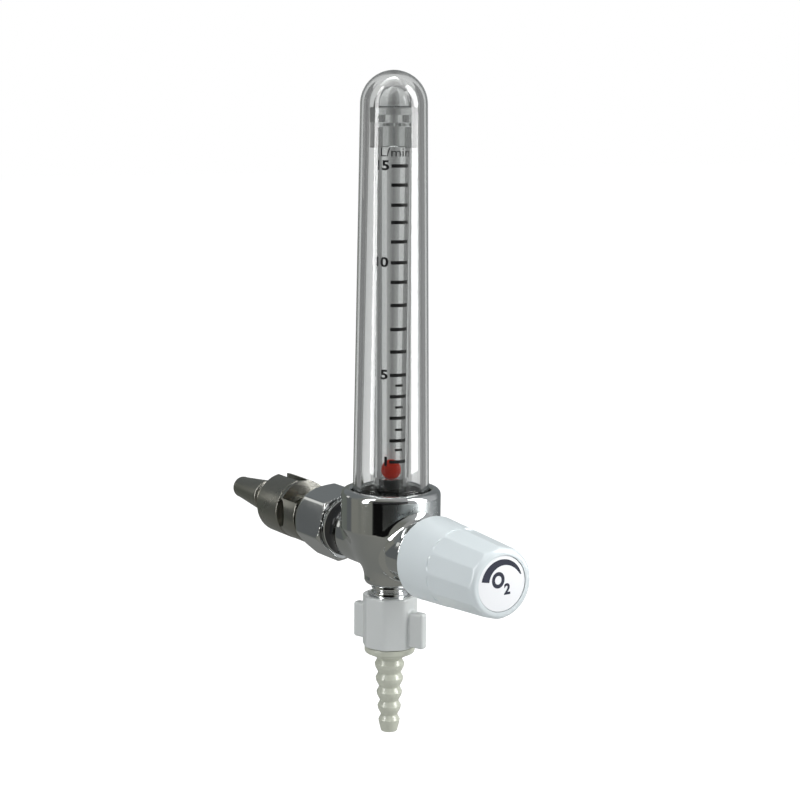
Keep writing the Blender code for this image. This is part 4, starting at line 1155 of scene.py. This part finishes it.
for node, mat in {
    "probe_tail": brass,
    "inlet_washer": rubber,
    "inlet_filter": bronze,
    "tube_seal": rubber,
    "cover_o_ring_1": silicone,
    "cover_o_ring_2": silicone,
    "float_stop": tube_clear,
    "valve_seat": brass,
    "valve_bonnet": chrome,
    "gland_nut": brass,
    "spindle_o_ring": rubber,
    "valve_spindle": brass,
    "knob_screw": chrome_bright,
    "outlet_washer": rubber,
}.items():
    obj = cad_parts[node]
    obj.data.materials.clear()
    obj.data.materials.append(mat)

# Studio

AZIMUTH = math.radians(-33)
FLOOR = -0.15
AIM = (0, TUBE_Y * MM, 0.05)


def area_light(name, centre, width, height, power):
    light = bpy.data.lights.new(name, "AREA")
    light.shape = "RECTANGLE"
    light.size = width
    light.size_y = height
    light.energy = power
    obj = bpy.data.objects.new(name, light)
    bpy.context.scene.collection.objects.link(obj)
    away = Vector(AIM) - Vector(centre)
    obj.location = centre
    obj.rotation_euler = away.to_track_quat("-Z", "Y").to_euler()
    obj.visible_glossy = False


for name, centre, width, height, power in (
    ("key", (0.75, -0.95, 0.75), 0.5, 0.9, 14),
    ("fill", (-1.15, -0.35, 0.45), 0.5, 1.0, 5),
    ("top", (0.0, 0.1, 1.2), 0.9, 0.9, 9),
    ("side", (1.0, -0.6, -0.04), 0.3, 0.2, 3),
):
    area_light(name, centre, width, height, power)


def background_rays(tree):
    """1 for the rays that should meet the white background: camera, glossy and transmission rays."""
    path = add(tree, "ShaderNodeLightPath")
    first = add(tree, "ShaderNodeMath", operation="MAXIMUM")
    second = add(tree, "ShaderNodeMath", operation="MAXIMUM")
    tree.links.new(path.outputs["Is Camera Ray"], first.inputs[0])
    tree.links.new(path.outputs["Is Transmission Ray"], first.inputs[1])
    tree.links.new(first.outputs[0], second.inputs[0])
    tree.links.new(path.outputs["Is Glossy Ray"], second.inputs[1])
    return second.outputs[0]


world = bpy.data.worlds.new("studio")
bpy.context.scene.world = world
world.use_nodes = True
tree = world.node_tree
tree.nodes.clear()
out = tree.nodes.new("ShaderNodeOutputWorld")
white = tree.nodes.new("ShaderNodeBackground")
grey = tree.nodes.new("ShaderNodeBackground")
white.inputs["Color"].default_value = (1, 1, 1, 1)
grey.inputs["Color"].default_value = (0.49, 0.50, 0.52, 1)
mix = tree.nodes.new("ShaderNodeMixShader")
tree.links.new(background_rays(tree), mix.inputs["Fac"])
tree.links.new(grey.outputs[0], mix.inputs[1])
tree.links.new(white.outputs[0], mix.inputs[2])
tree.links.new(mix.outputs[0], out.inputs["Surface"])

# Surround that only reflections see, and dark flags that only transmission sees

WALL_STEPS = 72
SURROUND_RADIUS = 1.5
SURROUND_SPLIT = 0.36
SURROUND_TOP = 2.3
GROUND_SPLIT = 0.45
GROUND = FLOOR + 0.002
STRIP_RADIUS = 0.5
STRIP_LOW = -0.055
STRIP_TOP = 0.9
PATCH_RADIUS = 1.3
FLAG_RADIUS = 0.9
FLAG_INNER = 0.2
FLAG_GROUND = FLOOR + 0.003
FLAG_TOP = 0.7


def ring_wall(name, low_radius, high_radius, low, high, start, end):
    """Part of an upright or flat ring round the tube; bearings in degrees from the camera."""
    points, faces = [], []
    for i in range(WALL_STEPS + 1):
        bearing = math.radians(start + (end - start) * i / WALL_STEPS)
        for r, z in ((low_radius, low), (high_radius, high)):
            points.append((r * math.sin(bearing), -r * math.cos(bearing), z))
    for i in range(WALL_STEPS):
        faces.append((2 * i, 2 * i + 2, 2 * i + 3, 2 * i + 1))
    mesh = bpy.data.meshes.new(name)
    mesh.from_pydata(points, [], faces)
    obj = bpy.data.objects.new(name, mesh)
    bpy.context.scene.collection.objects.link(obj)
    obj.matrix_world = AT_TUBE @ Matrix.Rotation(AZIMUTH, 4, "Z")
    obj.visible_camera = False
    obj.visible_diffuse = False
    obj.visible_transmission = False
    obj.visible_shadow = False
    obj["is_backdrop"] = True
    return obj


def bearing_glow(name, stops):
    """Light whose colour follows the bearing, given as (degrees, colour)."""
    mat = bpy.data.materials.new(name)
    mat.use_nodes = True
    tree = mat.node_tree
    tree.nodes.clear()
    place = add(tree, "ShaderNodeTexCoord")
    split = add(tree, "ShaderNodeSeparateXYZ")
    ahead = add(tree, "ShaderNodeMath", operation="MULTIPLY")
    ahead.inputs[1].default_value = -1
    turn = add(tree, "ShaderNodeMath", operation="ARCTAN2")
    share = add(tree, "ShaderNodeMath", operation="MULTIPLY_ADD")
    share.inputs[1].default_value = 1 / (2 * math.pi)
    share.inputs[2].default_value = 0.5
    tree.links.new(place.outputs["Object"], split.inputs[0])
    tree.links.new(split.outputs["Y"], ahead.inputs[0])
    tree.links.new(split.outputs["X"], turn.inputs[0])
    tree.links.new(ahead.outputs[0], turn.inputs[1])
    tree.links.new(turn.outputs[0], share.inputs[0])
    places = [((bearing + 180) / 360, colour) for bearing, colour in stops]
    colours = ramp(tree, share.outputs[0], places)
    glow = add(tree, "ShaderNodeEmission")
    out = add(tree, "ShaderNodeOutputMaterial")
    tree.links.new(colours.outputs["Color"], glow.inputs["Color"])
    tree.links.new(glow.outputs["Emission"], out.inputs["Surface"])
    return mat


def plain_glow(name, colour):
    return bearing_glow(name, [(-180, colour), (180, colour)])


OLIVE = (0.165, 0.18, 0.16)
SLATE = (0.14, 0.148, 0.15)
WARM_GREY = (0.265, 0.265, 0.235)
DIM_WARM = (0.225, 0.23, 0.205)
BLACK = (0.006, 0.006, 0.006)
PALE = (0.55, 0.565, 0.575)
COOL_GREY = (0.21, 0.225, 0.23)
low_glow = bearing_glow(
    "surround_low",
    [
        (-180, OLIVE),
        (-122, OLIVE),
        (-117, SLATE),
        (-104, SLATE),
        (-99, WARM_GREY),
        (-82, WARM_GREY),
        (-74, DIM_WARM),
        (-66, WARM_GREY),
        (-52, DIM_WARM),
        (-43, DIM_WARM),
        (-40, BLACK),
        (20, BLACK),
        (30, DIM_WARM),
        (62, PALE),
        (120, PALE),
        (138, COOL_GREY),
        (180, COOL_GREY),
    ],
)
high_glow = bearing_glow(
    "surround_high",
    [
        (-180, COOL_GREY),
        (-111, COOL_GREY),
        (-60, WARM_GREY),
        (0, DIM_WARM),
        (60, PALE),
        (120, PALE),
        (150, COOL_GREY),
        (180, COOL_GREY),
    ],
)
ground_glow = bearing_glow(
    "surround_ground",
    [
        (-180, (0.23, 0.235, 0.23)),
        (-120, (0.23, 0.235, 0.22)),
        (-40, (0.28, 0.28, 0.255)),
        (40, (0.28, 0.28, 0.255)),
        (120, (0.32, 0.32, 0.31)),
        (180, (0.26, 0.265, 0.26)),
    ],
)
ceiling_glow = bearing_glow(
    "surround_ceiling",
    [
        (-180, (0.26, 0.27, 0.27)),
        (-60, (0.42, 0.42, 0.40)),
        (60, (0.42, 0.42, 0.42)),
        (180, (0.26, 0.27, 0.27)),
    ],
)
strip_glow = plain_glow("surround_strip", level(12))
patch_glow = plain_glow("surround_patch", (0.95, 0.95, 0.91))
flag_glow = bearing_glow(
    "surround_flag",
    [
        (-180, level(0.36)),
        (-171, level(0.75)),
        (-164, level(0.34)),
        (-60, level(0.34)),
        (-50, level(0.16)),
        (50, level(0.16)),
        (60, level(0.34)),
        (164, level(0.34)),
        (171, level(0.75)),
        (180, level(0.36)),
    ],
)
for name, low_radius, high_radius, low, high, glow in (
    ("surround_low", SURROUND_RADIUS, SURROUND_RADIUS, FLOOR, SURROUND_SPLIT, low_glow),
    ("surround_high", SURROUND_RADIUS, SURROUND_RADIUS, SURROUND_SPLIT, SURROUND_TOP, high_glow),
    ("surround_ceiling", 0.0, SURROUND_RADIUS, SURROUND_TOP, SURROUND_TOP, ceiling_glow),
    ("surround_far_ground", GROUND_SPLIT, SURROUND_RADIUS, GROUND, GROUND, low_glow),
    ("surround_near_ground", 0.0, GROUND_SPLIT, GROUND, GROUND, ground_glow),
):
    wall = ring_wall(name, low_radius, high_radius, low, high, -180, 180)
    wall.data.materials.append(glow)
for name, radius, low, high, start, end, glow in (
    ("strip_left", STRIP_RADIUS, STRIP_LOW, STRIP_TOP, -66, -52, strip_glow),
    ("strip_right", STRIP_RADIUS, STRIP_LOW, STRIP_TOP, 62, 88, strip_glow),
    ("collar_patch", PATCH_RADIUS, 0.1, 0.45, -122, -112, patch_glow),
):
    ring_wall(name, radius, radius, low, high, start, end).data.materials.append(glow)
for name, start, end in (
    ("flag_left", -153, -70),
    ("flag_right", 70, 153),
    ("flag_front", -55, 55),
    ("flag_back", 171, 189),
):
    ground = f"{name}_ground"
    for flag in (
        ring_wall(name, FLAG_RADIUS, FLAG_RADIUS, FLAG_GROUND, FLAG_TOP, start, end),
        ring_wall(ground, FLAG_INNER, FLAG_RADIUS, FLAG_GROUND, FLAG_GROUND, start, end),
    ):
        flag.data.materials.append(flag_glow)
        flag.visible_glossy = False
        flag.visible_transmission = True

# Floor, plain where it lights the object and nearly white as a background

FLOOR_HALF = 6
floor_corners = [
    (-FLOOR_HALF, -FLOOR_HALF, 0),
    (FLOOR_HALF, -FLOOR_HALF, 0),
    (FLOOR_HALF, FLOOR_HALF, 0),
    (-FLOOR_HALF, FLOOR_HALF, 0),
]
floor_mesh = bpy.data.meshes.new("floor")
floor_mesh.from_pydata(floor_corners, [], [(0, 1, 2, 3)])
floor = bpy.data.objects.new("floor", floor_mesh)
floor.location = (0, 0, FLOOR)
bpy.context.scene.collection.objects.link(floor)
floor_mat = bpy.data.materials.new("floor")
floor_mat.use_nodes = True
tree = floor_mat.node_tree
tree.nodes.clear()
lit = add(tree, "ShaderNodeBsdfDiffuse")
lit.inputs["Color"].default_value = (0.55, 0.55, 0.55, 1)
faint = add(tree, "ShaderNodeBsdfDiffuse")
faint.inputs["Color"].default_value = (0.25, 0.25, 0.25, 1)
glow = add(tree, "ShaderNodeEmission")
glow.inputs["Strength"].default_value = 0.88
both = add(tree, "ShaderNodeAddShader")
seen = add(tree, "ShaderNodeMixShader")
out = add(tree, "ShaderNodeOutputMaterial")
tree.links.new(faint.outputs[0], both.inputs[0])
tree.links.new(glow.outputs[0], both.inputs[1])
tree.links.new(background_rays(tree), seen.inputs["Fac"])
tree.links.new(lit.outputs[0], seen.inputs[1])
tree.links.new(both.outputs[0], seen.inputs[2])
tree.links.new(seen.outputs[0], out.inputs["Surface"])
floor_mesh.materials.append(floor_mat)
floor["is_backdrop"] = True

# Camera

DROP = math.radians(9.3)
ROLL = math.radians(0.5)
REACH = 781.6
HEIGHT = 188.8
SIDE = 3.5
SENSOR_WIDTH = 36
PICTURE_WIDTH = 800
FOCAL_PIXELS = 1900
back = Vector((math.sin(AZIMUTH), -math.cos(AZIMUTH), 0))
right = Vector((math.cos(AZIMUTH), math.sin(AZIMUTH), 0))
eye = (Vector((0, TUBE_Y, HEIGHT)) + back * REACH + right * SIDE) * MM
looking = -back * math.cos(DROP) - Vector((0, 0, math.sin(DROP)))
camera_data = bpy.data.cameras.new("camera")
camera_data.sensor_width = SENSOR_WIDTH
camera_data.lens = SENSOR_WIDTH * FOCAL_PIXELS / PICTURE_WIDTH
camera_data.clip_start = 0.01
camera = bpy.data.objects.new("camera", camera_data)
bpy.context.scene.collection.objects.link(camera)
above = right.cross(looking)
across = right * math.cos(ROLL) + above * math.sin(ROLL)
upwards = above * math.cos(ROLL) - right * math.sin(ROLL)
facing = Matrix((across, upwards, -looking)).transposed().to_4x4()
camera.matrix_world = Matrix.Translation(eye) @ facing
bpy.context.scene.camera = camera

bpy.context.scene.view_settings.view_transform = "Standard"
cycles = bpy.context.scene.cycles
cycles.max_bounces = 16
cycles.transmission_bounces = 14
cycles.transparent_max_bounces = 12

low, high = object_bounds()
